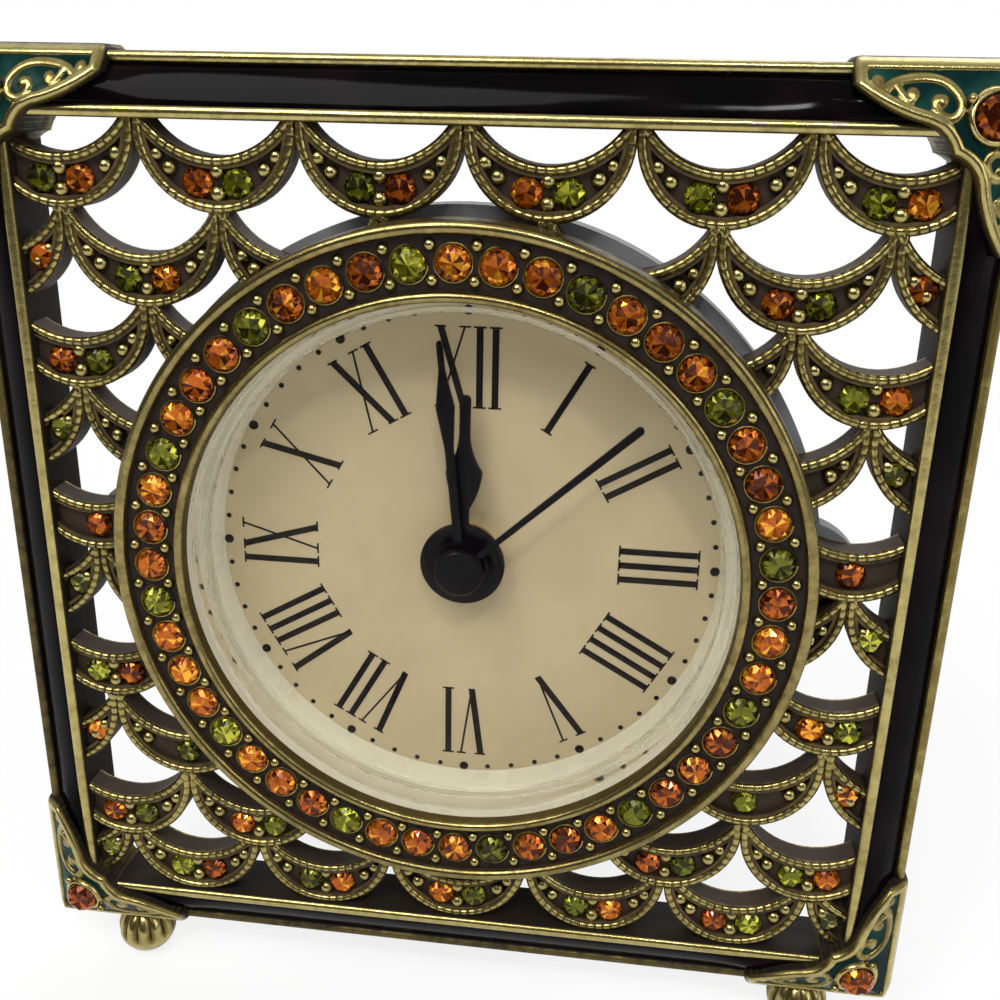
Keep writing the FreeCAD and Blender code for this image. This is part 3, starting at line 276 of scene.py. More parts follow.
@dataclass(frozen=True)
class AntiqueBrass:
    """Cast brass with dark patina in its recesses and worn pale edges."""

    name: str
    mask: Mask = Mask.ATTRIBUTE
    level: float = 0.3
    bright: Colour = (0.47, 0.395, 0.155)
    body: Colour = (0.185, 0.14, 0.042)
    dark: Colour = (0.014, 0.011, 0.008)
    shallow: float = 0.0
    deep: float = 1.0
    back: float = 2.9
    scale: float = 900.0

    def build(self) -> Material:
        """Make the node material.

        Returns:
            The material.
        """
        material, tree, shader = new_material(self.name)
        tarnish = self.level
        if self.mask is Mask.ATTRIBUTE:
            tarnish = tree.add("ShaderNodeAttribute", attribute_name="tarnish").outputs["Fac"]
        elif self.mask is Mask.DEPTH:
            depth = tree.add("ShaderNodeVectorMath", {0: tree.coords(), 1: tuple(SPINDLE.back)},
                             operation="DOT_PRODUCT").outputs["Value"]
            start = SPINDLE.origin.dot(SPINDLE.back)
            front = tree.remap(depth, start + self.shallow * MM, start + self.deep * MM, self.level, 1.0)
            back = tree.remap(depth, start + self.back * MM, start + (self.back + 0.3) * MM, 0.0, 0.42)
            tarnish = tree.math("SUBTRACT", front, back)
        wear = tree.add("ShaderNodeGroup", {"Bright": self.bright, "Body": self.body, "Dark": self.dark,
                                            "Tarnish": tarnish, "Scale": self.scale},
                        node_tree=EFFECTS.antique).outputs
        tree.fill(shader, {"Base Color": wear["Color"], "Roughness": wear["Roughness"], "Metallic": wear["Metallic"],
                           "Specular IOR Level": 0.12, "Normal": tree.bump(wear["Height"], 0.28, 0.00012)})
        return material


@dataclass(frozen=True)
class Enamel:
    """Glossy fired enamel with a soft wave in its surface."""

    name: str
    colour: Colour
    thin: Colour
    wave: float = 90.0

    def build(self) -> Material:
        """Make the node material.

        Returns:
            The material.
        """
        material, tree, shader = new_material(self.name)
        broad = tree.noise(self.wave, 2.0, 0.5)
        fine = tree.noise(1400.0, 2.0)
        tree.fill(shader, {"Base Color": tree.mix(tree.remap(broad, 0.42, 0.7), self.colour, self.thin),
                           "Roughness": tree.math("MULTIPLY_ADD", fine, 0.08, 0.05), "IOR": 1.5,
                           "Specular IOR Level": 0.03, "Coat Weight": 0.012, "Coat Roughness": 0.03,
                           "Normal": tree.bump(broad, 0.25, 0.0006)})
        return material


@dataclass(frozen=True)
class Crystal:
    """Foiled faceted stone; each facet has a painted tone of light and shade, and the brightest ones a painted glint.
    """

    name: str
    deep: Colour
    body: Colour
    painted_glint: Colour

    def build(self) -> Material:
        """Make the node material.

        Returns:
            The material.
        """
        material, tree, shader = new_material(self.name)
        tone = tree.add("ShaderNodeAttribute", attribute_name="tone").outputs["Fac"]
        shade = tree.add("ShaderNodeAttribute", attribute_name="shade").outputs["Fac"]
        drift = tree.noise(2300.0, 2.0)
        value = tree.math("FRACT", tree.math("ADD", tone, tree.math("MULTIPLY", shade, 5.3)))
        value = tree.math("ADD", value, tree.math("MULTIPLY_ADD", drift, 0.8, -0.4))
        value = tree.math("ADD", value, tree.math("MULTIPLY_ADD", shade, 0.5, -0.3))
        # Facet tones paint the facets' light and shade from the deep to the body colour, and the top tones a painted
        # glint
        colour = tree.mix(tree.remap(value, 0.05, 0.5), self.deep, self.body)
        colour = tree.mix(tree.remap(value, 0.72, 1.0), colour, self.painted_glint)
        tree.fill(shader, {"Base Color": colour, "Roughness": tree.math("MULTIPLY_ADD", drift, 0.08, 0.04),
                           "Metallic": 0.7, "IOR": 1.5, "Coat Weight": 0.12, "Coat Roughness": 0.02})
        return material


@dataclass(frozen=True)
class ClearGlass:
    """Clear lens that lets the lamps' light through to the dial."""

    name: str
    tint: Colour = (0.99, 0.985, 0.97)
    specular: float = 0.05
    clarity: float = 0.985

    def build(self) -> Material:
        """Make the node material.

        Returns:
            The material.
        """
        material, tree, shader = new_material(self.name)
        smear = tree.noise(60.0, 3.0)
        tree.fill(shader, {"Base Color": self.tint, "Roughness": tree.remap(smear, 0.45, 0.8, 0.0, 0.025),
                           "Transmission Weight": 1.0, "IOR": 1.45, "Specular IOR Level": self.specular})
        path = tree.add("ShaderNodeLightPath")
        light = tree.math("MAXIMUM", path.outputs["Is Shadow Ray"], path.outputs["Is Diffuse Ray"])
        slope = tree.add("ShaderNodeLayerWeight", {"Blend": 0.5}).outputs["Facing"]
        light = tree.math("MAXIMUM", light, tree.remap(slope, 0.3, 0.62, self.clarity, 0.0))
        through = tree.add("ShaderNodeBsdfTransparent", {"Color": self.tint})
        tree.mix_shaders(light, shader, through)
        return material


@dataclass(frozen=True)
class Grained:
    """Moulded plastic, paint, print or plain metal with a fine grain."""

    name: str
    colour: Colour
    rough: float = 0.5
    metallic: float = 0.0
    spread: float = 0.12
    scale: float = 2500.0
    depth: float = 0.00003
    sheen: float = 0.0
    specular: float = 0.5

    def build(self) -> Material:
        """Make the node material.

        Returns:
            The material.
        """
        material, tree, shader = new_material(self.name)
        grain = tree.add("ShaderNodeGroup", {"Color": self.colour, "Rough": self.rough, "Scale": self.scale,
                                             "Spread": self.spread}, node_tree=EFFECTS.grain).outputs
        tree.fill(shader, {"Base Color": grain["Color"], "Roughness": grain["Roughness"], "Metallic": self.metallic,
                           "Coat Weight": self.sheen, "Specular IOR Level": self.specular,
                           "Normal": tree.bump(grain["Height"], 0.4, self.depth)})
        return material


@dataclass(frozen=True)
class Winding:
    """Fine lacquered wire, wound side by side along X, with painted shade in the grooves between turns."""

    name: str
    colour: Colour = (0.42, 0.14, 0.05)
    # Painted shade in the grooves between turns
    groove: Colour = (0.12, 0.03, 0.01)

    def build(self) -> Material:
        """Make the node material.

        Returns:
            The material.
        """
        material, tree, shader = new_material(self.name)
        wave = tree.add("ShaderNodeTexWave", {"Vector": tree.coords(), "Scale": 2200.0, "Distortion": 0.6},
                        bands_direction="X").outputs["Fac"]
        tree.fill(shader, {"Base Color": tree.mix(wave, self.groove, self.colour),
                           "Roughness": tree.math("MULTIPLY_ADD", wave, -0.15, 0.45), "Metallic": 0.8,
                           "Normal": tree.bump(wave, 0.5, 0.00005)})
        return material


class Finishes:
    """Every finish of the clock, built once."""

    def __init__(self) -> None:
        """Build the materials."""
        self.brass = AntiqueBrass("antique_brass", dark=(0.014, 0.010, 0.007)).build()
        self.brass_grille = AntiqueBrass("antique_brass_grille", Mask.DEPTH, 0.72, dark=(0.037, 0.024, 0.016),
                                         shallow=0.95, deep=1.35).build()
        self.brass_bezel = AntiqueBrass("antique_brass_bezel", bright=(0.34, 0.275, 0.108), body=(0.122, 0.09, 0.028),
                                        dark=(0.022, 0.015, 0.011)).build()
        self.brass_plain = AntiqueBrass("antique_brass_plain", Mask.NONE, 0.45).build()
        self.bead = AntiqueBrass("antique_brass_bead", bright=(0.42, 0.35, 0.135), body=(0.17, 0.128, 0.038),
                                 scale=1500.0).build()
        self.black = Enamel("black_enamel", (0.0015, 0.0012, 0.0015), (0.006, 0.003, 0.004)).build()
        self.teal = Enamel("teal_enamel", (0.0025, 0.016, 0.015), (0.012, 0.055, 0.040), 260.0).build()
        # The last colour of each stone is its painted glint
        self.amber = Crystal("amber_crystal", (0.060, 0.009, 0.001), (0.44, 0.095, 0.004), (0.90, 0.40, 0.03)).build()
        self.green = Crystal("green_crystal", (0.018, 0.020, 0.001), (0.13, 0.135, 0.004), (0.50, 0.50, 0.04)).build()
        self.lens = ClearGlass("clear_lens").build()
        self.reflector = Grained("reflector_white", (0.57, 0.545, 0.43), 0.28, sheen=0.3).build()
        self.dial = Grained("dial_cream", (0.445, 0.365, 0.225), 0.5, spread=0.16, depth=0.00001).build()
        self.ink = Grained("dial_ink", (0.004, 0.0035, 0.005), 0.4, depth=0.000004, specular=0.1).build()
        self.hand = Grained("hand_black", (0.003, 0.0025, 0.004), 0.2, depth=0.000004, specular=0.1).build()
        self.case = Grained("case_grey", (0.165, 0.165, 0.17), 0.42, spread=0.2).build()
        self.movement = Grained("movement_plastic", (0.56, 0.55, 0.50), 0.5).build()
        self.wheel = Grained("wheel_plastic", (0.70, 0.68, 0.60), 0.4).build()
        self.wheel_brass = Grained("wheel_brass", (0.66, 0.47, 0.18), 0.3, 1.0, depth=0.00001).build()
        self.steel = Grained("steel", (0.48, 0.48, 0.47), 0.32, 1.0, scale=1800.0, depth=0.00001).build()
        self.copper = Winding("copper_wire").build()
        self.board = Grained("board_green", (0.02, 0.13, 0.06), 0.35, sheen=0.3).build()
        self.cell = Grained("cell_steel", (0.62, 0.62, 0.61), 0.18, 1.0, depth=0.000006).build()
        self.cover = Grained("cover_black", (0.022, 0.022, 0.023), 0.46, spread=0.2).build()


FINISHES = Finishes()


def link(name: str, data: ID) -> Object:
    """Put data into the scene as an object.

    Args:
        name: the object's name.
        data: its mesh, lamp or camera.

    Returns:
        The object.
    """
    thing = bpy.data.objects.new(name, data)
    bpy.context.scene.collection.objects.link(thing)
    return thing


def store(mesh: Mesh, key: str, values: object, domain: str = "POINT") -> None:
    """Keep one number for each point or face of a mesh."""
    mesh.attributes.new(key, "FLOAT", domain).data.foreach_set("value", np.asarray(values, np.float32))


def make_piece(name: str, points: Array, faces: list, material: Material,
               tarnish: Array | None = None, sharp_deg: float = 40.0, grounded: bool = False) -> Object:
    """Make a closed mesh piece from local mm points, with its faces outwards.

    Args:
        name: the piece's name.
        points: rows of X, Y and Z in local mm.
        faces: point numbers of each face.
        material: the piece's finish.
        tarnish: a value per point, from 0 for worn to 1 for dark.
        sharp_deg: angle over which an edge stays sharp; 0 shades every face flat.
        grounded: whether points under the floor are pressed flat onto it.

    Returns:
        The new object, linked to the scene.
    """
    placed = SPINDLE.place(points)
    if grounded:
        placed[:, 2] = np.maximum(placed[:, 2], 0.0)
    mesh = bpy.data.meshes.new(name)
    mesh.from_pydata(placed.tolist(), [], faces)
    mesh.validate()
    if tarnish is not None:
        store(mesh, "tarnish", tarnish)
    work = bmesh.new()
    work.from_mesh(mesh)
    bmesh.ops.remove_doubles(work, verts=work.verts, dist=1e-7)
    bmesh.ops.delete(work, geom=[edge for edge in work.edges if not edge.link_faces], context="EDGES")
    bmesh.ops.recalc_face_normals(work, faces=work.faces)
    work.to_mesh(mesh)
    work.free()
    if sharp_deg:
        mesh.shade_smooth()
        mesh.set_sharp_from_angle(angle=math.radians(sharp_deg))
    mesh.materials.append(material)
    return link(name, mesh)


def settle(thing: Object, body: str, slot: str, *nodes: str) -> Object:
    """Fix a finished piece to its body.

    Args:
        thing: the finished piece.
        body: the body it moves with.
        slot: the record's material slot; not used.
        nodes: CAD nodes that it stands for.

    Returns:
        The same piece.
    """
    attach(thing, body)
    if nodes:
        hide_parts(*nodes)
    LOG.info("%s: %d faces on %s", thing.name, len(thing.data.polygons), body)
    return thing


def wrap_faces(rows: int, count: int, joined: bool = True) -> list[tuple[int, ...]]:
    """Quads between neighbouring rows of points, closed round each row.

    Args:
        rows: number of rows.
        count: number of points in each row.
        joined: whether the last row joins the first.

    Returns:
        Point numbers of the quads.
    """
    faces = []
    for i in range(rows if joined else rows - 1):
        for j in range(count):
            k, n = (j + 1) % count, (i + 1) % rows
            faces.append((i * count + j, i * count + k, n * count + k, n * count + j))
    return faces


def lathe(name: str, profile: list[Point], material: Material, steps: int = 192,
          sharp_deg: float = 40.0) -> Object:
    """Turn a closed section about the spindle.

    Args:
        name: the piece's name.
        profile: radius, depth and tarnish of each section point, in mm.
        material: the finish.
        steps: number of steps round the axis.
        sharp_deg: angle over which an edge stays sharp.

    Returns:
        The turned piece.
    """
    angles = np.arange(steps) * 2 * math.pi / steps
    radius, depth, tarnish = np.array(profile).T
    x, z = np.outer(np.cos(angles), radius), np.outer(np.sin(angles), radius)
    points = np.stack([x, np.broadcast_to(depth, x.shape), z], -1).reshape(-1, 3)
    return make_piece(name, points, wrap_faces(steps, len(radius)), material, np.tile(tarnish, steps), sharp_deg)


def arc(centre: tuple[float, float], radii: tuple[float, float], start: float, end: float,
        count: int) -> list[tuple[float, float]]:
    """Points of an ellipse's arc, with angles in degrees."""
    angles = np.radians(np.linspace(start, end, count))
    return [(centre[0] + radii[0] * math.cos(a), centre[1] + radii[1] * math.sin(a)) for a in angles]


def around(radius: float, depth: float, turn: float) -> Point:
    """Point on a circle that faces the viewer."""
    return radius * math.cos(turn), depth, radius * math.sin(turn)


def turned(x: object, y: object, z: object, turn: float) -> Array:
    """Places turned clockwise about the spindle, as the viewer sees them."""
    return np.stack([x * math.cos(turn) + z * math.sin(turn), y, z * math.cos(turn) - x * math.sin(turn)], -1)


def bow(x: float, y: float, z: float, radius: float, angles: Array) -> Array:
    """Points at some angles of a circle round a place."""
    return np.stack([x + radius * np.cos(angles), np.full(len(angles), y), z + radius * np.sin(angles)], -1)


def dome_faces(rings: int, count: int) -> list[tuple[int, ...]]:
    """Faces of a closed dome: a fan round its top point, quads between its rings, and a base.

    Args:
        rings: number of rings.
        count: number of points in each ring.

    Returns:
        Point numbers of the faces.
    """
    faces = [(0, 1 + step, 1 + (step + 1) % count) for step in range(count)]
    faces += [(1 + a, 1 + d, 1 + c, 1 + b) for a, b, c, d in wrap_faces(rings, count, False)]
    return faces + [tuple(1 + (rings - 1) * count + step for step in reversed(range(count)))]


def worn_rim(line: list[tuple[float, float]], top: float, height: float, least: float, gain: float) -> list[Point]:
    """Section points of a raised rim, worn on its top and darker down its sides.

    Args:
        line: distance and depth of each point.
        top: depth of the rim's top.
        height: height over which it darkens.
        least: tarnish on the top.
        gain: what the sides have over it.

    Returns:
        Distance, depth and tarnish of each point.
    """
    return [(x, y, least + gain * max(0.0, (y - top) / height) ** 3) for x, y in line]


class Repeater:
    """Geometry Nodes trees that repeat a small shape or follow a line."""

    @staticmethod
    def run(name: str, base: Mesh, group: NodeTree, values: dict[str, object],
            material: Material) -> Object:
        """Run a tree on a base mesh and keep the result as a plain mesh.

        Args:
            name: the piece's name.
            base: mesh with the points or lines to follow.
            group: the tree to run.
            values: the tree's inputs by name.
            material: the finish that Set Material gives.

        Returns:
            The finished piece.
        """
        carrier = link(name + "_base", base)
        modifier = carrier.modifiers.new("repeat", "NODES")
        modifier.node_group = group
        given = {**values, "Material": material}
        for item in group.interface.items_tree:
            if item.in_out == "INPUT" and item.name in given:
                modifier[item.identifier] = given[item.name]
        graph = bpy.context.evaluated_depsgraph_get()
        graph.update()
        mesh = bpy.data.meshes.new_from_object(carrier.evaluated_get(graph), preserve_all_data_layers=True,
                                               depsgraph=graph)
        carrier.modifiers.remove(modifier)
        bpy.data.objects.remove(carrier)
        mesh.name = name
        if not mesh.materials:
            mesh.materials.append(material)
        return link(name, mesh)

    def studs(self) -> NodeTree:
        """Tree that puts a small shape on every point, scaled by "size" and spun by "spin".

        Returns:
            The tree.
        """
        group, tree, source = new_group("studs_on_points", {
            "Geometry": ("Geometry", None), "Shape": ("Object", None),
            "Scale": ("Float", 1.0), "Axis": ("Vector", (0.0, 1.0, 0.0)),
            "Material": ("Material", None)}, {"Geometry": "Geometry"}, "GeometryNodeTree")
        shape = tree.add("GeometryNodeObjectInfo", {"Object": source.outputs["Shape"], "As Instance": False})
        size = tree.add("GeometryNodeInputNamedAttribute", {"Name": "size"}, data_type="FLOAT").outputs[0]
        spin = tree.add("GeometryNodeInputNamedAttribute", {"Name": "spin"}, data_type="FLOAT").outputs[0]
        turn = tree.add("FunctionNodeAxisAngleToRotation", {"Axis": source.outputs["Axis"], "Angle": spin})
        scale = tree.math("MULTIPLY", size, source.outputs["Scale"])
        points = tree.add("GeometryNodeInstanceOnPoints", {
            "Points": source.outputs["Geometry"], "Instance": shape.outputs["Geometry"],
            "Rotation": turn.outputs[0], "Scale": scale})
        self._close(tree, points.outputs[0], source)
        return group

    def rope(self) -> NodeTree:
        """Tree that draws a notched rope rim along each line of the base mesh.

        Returns:
            The tree.
        """
        group, tree, source = new_group("notched_rim", {
            "Geometry": ("Geometry", None), "Radius": ("Float", 0.0004),
            "Pitch": ("Float", 0.0009), "Notch": ("Float", 0.3),
            "Step": ("Float", 0.00015), "Material": ("Material", None)},
            {"Geometry": "Geometry"}, "GeometryNodeTree")
        given = source.outputs
        line = tree.add("GeometryNodeMeshToCurve", {"Mesh": given["Geometry"]}).outputs[0]
        fine = tree.add("GeometryNodeResampleCurve", {"Curve": line, "Length": given["Step"]}, mode="LENGTH")
        along = tree.add("GeometryNodeSplineParameter").outputs["Length"]
        phase = tree.math("MULTIPLY", tree.math("DIVIDE", along, given["Pitch"]), math.pi)
        groove = tree.math("POWER", tree.math("ABSOLUTE", tree.math("COSINE", phase)), 18.0)
        worn = tree.add("ShaderNodeTexNoise", {"Scale": 260.0, "Detail": 1.0}).outputs[0]
        depth = tree.math("MULTIPLY", groove, tree.remap(worn, 0.3, 0.6, 0.35, 1.0))
        share = tree.math("SUBTRACT", 1.0, tree.math("MULTIPLY", depth, given["Notch"]))
        radius = tree.math("MULTIPLY", given["Radius"], share)
        sized = tree.add("GeometryNodeSetCurveRadius", {"Curve": fine.outputs[0], "Radius": radius})
        stored = tree.add("GeometryNodeStoreNamedAttribute", {
            "Geometry": sized.outputs[0], "Name": "tarnish", "Value": tree.math("MULTIPLY_ADD", depth, 0.85, 0.17)},
            data_type="FLOAT", domain="POINT")
        ring = tree.add("GeometryNodeCurvePrimitiveCircle", {"Resolution": 8, "Radius": 1.0})
        solid = tree.add("GeometryNodeCurveToMesh", {
            "Curve": stored.outputs[0], "Profile Curve": ring.outputs[0], "Fill Caps": True, "Scale": radius})
        smooth = tree.add("GeometryNodeSetShadeSmooth", {0: solid.outputs[0]})
        self._close(tree, smooth.outputs[0], source)
        return group

    @staticmethod
    def _close(tree: Tree, geometry: NodeSocket, source: Node) -> None:
        """End a tree in Realize Instances and Set Material.

        Args:
            tree: the helper that fills the tree.
            geometry: what the tree has made.
            source: the node with the tree's inputs.
        """
        real = tree.add("GeometryNodeRealizeInstances", {0: geometry}).outputs[0]
        painted = tree.add("GeometryNodeSetMaterial", {"Geometry": real, "Material": source.outputs["Material"]})
        tree.add("NodeGroupOutput", {0: painted.outputs[0]})


REPEATER = Repeater()
STUDS = REPEATER.studs()
ROPE = REPEATER.rope()


def template(name: str, points: list[Point], faces: list, key: str, values: list[float], domain: str = "POINT",
             smooth: bool = False) -> Object:
    """Small shape for the studs tree, in units of its own size and in the clock's own directions.

    Args:
        name: the shape's name.
        points: rows of X, Y and Z.
        faces: point numbers of each face.
        key: name of the attribute it carries.
        values: the attribute's values.
        domain: POINT or FACE.
        smooth: whether it is shaded smooth.

    Returns:
        The shape's object, which stays out of the scene.
    """
    mesh = bpy.data.meshes.new(name)
    mesh.from_pydata((np.asarray(points) @ SPINDLE.turn.T).tolist(), [], faces)
    store(mesh, key, values, domain)
    if smooth:
        mesh.shade_smooth()
    return bpy.data.objects.new(name, mesh)


def bead_shape(rings: int = 4, count: int = 10) -> Object:
    """Domed bead of unit diameter, with its foot a little behind its seat.

    Args:
        rings: number of rings under its top.
        count: number of points in each ring.

    Returns:
        The bead.
    """
    points, tarnish = [(0.0, -0.5, 0.0)], [0.0]
    for ring in range(1, rings + 1):
        tilt = math.radians(100) * ring / rings
        points += [around(0.5 * math.sin(tilt), -0.5 * math.cos(tilt), 2 * math.pi * step / count)
                   for step in range(count)]
        tarnish += [0.05 + 0.85 * (ring / rings) ** 2.2] * count
    return template("bead_shape", points, dome_faces(rings, count), "tarnish", tarnish, smooth=True)


def stone_shape(facets: int = 14, seed: int = 11) -> Object:
    """Round faceted stone of unit diameter, with a wedge for every facet under its table.

    Args:
        facets: number of facets round the table.
        seed: seed of the facets' places and of their tones of painted light and shade.

    Returns:
        The stone.
    """
    rng = np.random.default_rng(seed)
    points = [(0.0, -0.24, 0.0)]
    for radius, depth, count, shift in ((0.35, -0.27, facets, 0.0), (0.43, -0.19, facets, 0.5),
                                        (0.5, -0.10, 2 * facets, 0.0), (0.5, 0.0, 2 * facets, 0.0)):
        for step in range(count):
            turn = 2 * math.pi * (step + shift + (rng.uniform(-0.22, 0.22) if radius < 0.4 else 0.0)) / count
            reach = radius * (rng.uniform(0.82, 1.08) if radius < 0.4 else 1.0)
            points.append(around(reach, depth, turn))
    table, kite, girdle, base = 1, 1 + facets, 1 + 2 * facets, 1 + 4 * facets
    faces = []
    for step in range(facets):
        after, double = (step + 1) % facets, 2 * step
        faces.append((0, table + step, table + after))
        faces.append((table + step, kite + step, table + after))
        faces.append((table + step, kite + (step - 1) % facets, girdle + double, kite + step))
        faces.append((kite + step, girdle + double, girdle + double + 1))
        faces.append((kite + step, girdle + double + 1, girdle + (double + 2) % (2 * facets)))
    for step in range(2 * facets):
        after = (step + 1) % (2 * facets)
        faces.append((girdle + step, base + step, base + after, girdle + after))
    faces.append(tuple(base + step for step in reversed(range(2 * facets))))
    # Each face's tone sets its painted facet brightness, from shade to glint
    return template("stone_shape", points, faces, "tone", list(rng.uniform(0, 1, len(faces))), "FACE")


BEAD = bead_shape()
STONE = stone_shape()


def scatter(name: str, places: list[Point], sizes: list[float], shape: Object,
            material: Material, seed: int = 3) -> Object:
    """Set small shapes on places, each with a spin and a shade of its own.

    Args:
        name: the piece's name.
        places: local mm places.
        sizes: diameters in mm.
        shape: the shape to repeat.
        material: the finish.
        seed: seed of spins and shades.

    Returns:
        The finished piece.
    """
    rng = np.random.default_rng(seed)
    mesh = bpy.data.meshes.new(name + "_points")
    mesh.from_pydata(SPINDLE.place(places).tolist(), [], [])
    store(mesh, "size", np.array(sizes) * MM)
    store(mesh, "spin", rng.uniform(0, math.pi, len(places)))
    store(mesh, "shade", rng.uniform(0, 1, len(places)))
    values = {"Shape": shape, "Scale": 1.0, "Axis": tuple(SPINDLE.back)}
    return REPEATER.run(name, mesh, STUDS, values, material)


def set_stones(prefix: str, node: str, spots: dict[str, list[Point]], size: float, seed: int) -> None:
    """Set the amber and the green stones of one casting.

    Args:
        prefix: what the pieces' names start with.
        node: what the names of their CAD nodes start with.
        spots: local mm places by tone.
        size: the stones' diameter in mm.
        seed: seed of spins and shades.
    """
    for tone, finish in (("amber", FINISHES.amber), ("green", FINISHES.green)):
        piece = scatter(f"{prefix}_stones_{tone}", spots[tone], [size] * len(spots[tone]), STONE, finish, seed)
        settle(piece, "clock", f"{tone}_crystal", f"{node}_stones_{tone}")


def rope_lines(name: str, lines: list[Array], radius: float, pitch: float, notch: float,
               material: Material) -> Object:
    """Draw notched rims along lines of local mm points.

    Args:
        name: the piece's name.
        lines: rows of points for each line.
        radius: the rim's radius in mm.
        pitch: distance between notches in mm.
        notch: depth of a notch in shares of the radius.
        material: the finish.

    Returns:
        The finished piece.
    """
    points, edges, start = [], [], 0
    for line in lines:
        points.append(line)
        edges.extend((start + i, start + i + 1) for i in range(len(line) - 1))
        start += len(line)
    mesh = bpy.data.meshes.new(name + "_lines")
    mesh.from_pydata(SPINDLE.place(np.concatenate(points)).tolist(), edges, [])
    values = {"Radius": radius * MM, "Pitch": pitch * MM, "Notch": notch, "Step": 0.16 * MM}
    return REPEATER.run(name, mesh, ROPE, values, material)


@dataclass
class SquareFrame:
    """The cast square with its two raised rims and the black enamel between them."""

    inner_rim: float = 1.05
    enamel: float = 3.25
    outer_rim: float = 1.0
    fall: float = 1.9
    depth: float = 6.0
    bed: float = 0.95
    lip: float = 0.22
    dome: float = 0.28
    steps: int = 60
    # Painted shade on the outer rim and wall of each side, in the order top, right, bottom, left
    painted_side_shade: tuple = (0.0, 0.18, 0.5, 0.5)
    swell: float = 0.55
    swell_reach: float = 1.6

    def sweep(self, name: str, section: list[Point], material: Material, lift: float = 0.0) -> Object:
        """Carry a section round the square with mitred corners.

        Args:
            name: the piece's name.
            section: distance from the opening, depth and tarnish of each point, in mm.
            material: the finish.
            lift: rise of the middle of the section beside the corner brackets.

        Returns:
            The swept piece.
        """
        across, depth, tarnish = np.array(section).T
        reach = HALF_OPENING + across
        middle = np.clip(1 - np.abs(across - self.inner_rim - self.enamel / 2) / (self.enamel / 2), 0, 1)
        points, marks = [], []
        for side in range(4):
            turn = math.radians(90 * side)
            for step in range(self.steps):
                share = 2 * step / self.steps - 1
                x = share * reach
                from_bracket = BRACKET_EDGE - BRACKET_LEG - np.abs(x)
                raised = lift * middle ** 0.7 * np.exp(-np.clip(from_bracket, 0, None) / self.swell_reach)
                points.append(turned(x, depth - raised, reach, turn))
                # The outer rim and wall take their side's painted shade on top of the patina, in the same tarnish
                # values
                outside = across > self.inner_rim + self.enamel - 0.1
                marks.append(tarnish + np.where(outside, self.painted_side_shade[side], 0.0))
        faces = wrap_faces(4 * self.steps, len(section))
        return make_piece(name, np.concatenate(points), faces, material, np.concatenate(marks))

    def build(self) -> None:
        """Make the casting and the enamel."""
        a, b = self.inner_rim, self.inner_rim + self.enamel
        width = b + self.outer_rim
        inner = arc((a / 2, 0.38), (a / 2, 0.40), 180, 360, 9)
        outer = arc((b + self.outer_rim / 2, self.fall + 0.45), (self.outer_rim / 2, 0.45), 180, 360, 9)
        section = [(0.0, self.depth, 0.95), (0.0, self.depth - 0.4, 1.0)] + worn_rim(inner, 0.0, 0.38, 0.13, 0.9)
        section += [(a, self.bed, 1.0), (b, self.fall + self.bed, 1.0)] + worn_rim(outer, self.fall, 0.45, 0.17, 0.8)
        section += [(width, self.fall + 1.2, 0.7), (width, self.depth - 0.5, 0.75), (width - 0.3, self.depth, 0.3),
                    (width - 1.2, self.depth, 0.55), (width / 2, self.depth, 0.62), (1.0, self.depth, 0.5),
                    (0.3, self.depth, 0.3)]
        casting = self.sweep("frame_casting", section, FINISHES.brass)
        settle(casting, "clock", "antique_brass", "square_frame")
        top = []
        for share in np.linspace(0, 1, 13):
            level = self.fall * share + self.lip + 0.25
            arch = self.dome * math.sin(math.pi * share) ** 0.6
            top.append((a - 0.02 + (self.enamel + 0.04) * share, level - arch, 0.0))
        section = top + [(b, self.fall + self.bed, 0.0), (a, self.bed, 0.0)]
        band = self.sweep("enamel_band", section, FINISHES.black, self.swell)
        settle(band, "clock", "black_enamel", "black_enamel_bands")


@dataclass
class CornerGrid:
    """Square grid of points over one corner, with its rim pulled onto the outline."""

    size: int
    points: Array
    quarter: float
    back_tarnish: float = 0.55

    def place(self, chosen: Array, depth: Array) -> Array:
        """Turn some of the points to their corner of the clock.

        Args:
            chosen: numbers of the points.
            depth: depth of every grid point.

        Returns:
            Rows of X, Y and Z in local mm.
        """
        x, z = (BRACKET_EDGE - self.points[chosen]).T
        return turned(x, depth[chosen], z, self.quarter)

    def sheet(self, name: str, keep: Array, front: Array, back: Array,
              material: Material, tarnish: Array) -> Object:
        """Make a closed plate of the kept cells between two depths.

        Args:
            name: the piece's name.
            keep: whether each grid point belongs to the plate.
            front: depth of the plate's face at every grid point.
            back: depth of its back at every grid point.
            material: the finish.
            tarnish: tarnish of its face at every grid point.

        Returns:
            The plate.
        """
        cell = keep.reshape(self.size, self.size)
        i, j = np.nonzero(cell[:-1, :-1] & cell[1:, :-1] & cell[:-1, 1:] & cell[1:, 1:])
        first = i * self.size + j
        quads = np.stack([first, first + 1, first + self.size + 1, first + self.size], -1)
        used, numbers = np.unique(quads, return_inverse=True)
        faces = [tuple(quad) for quad in numbers.reshape(-1, 4).tolist()]
        edges = [(quad[k], quad[(k + 1) % 4]) for quad in faces for k in range(4)]
        known = set(edges)
        shift = len(used)
        faces += [tuple(shift + k for k in reversed(quad)) for quad in faces]
        faces += [(b, a, shift + a, shift + b) for a, b in edges if (b, a) not in known]
        points = np.vstack([self.place(used, front), self.place(used, back)])
        marks = np.concatenate([tarnish[used], np.full(shift, self.back_tarnish)])
        return make_piece(name, points, faces, material, marks, sharp_deg=50)


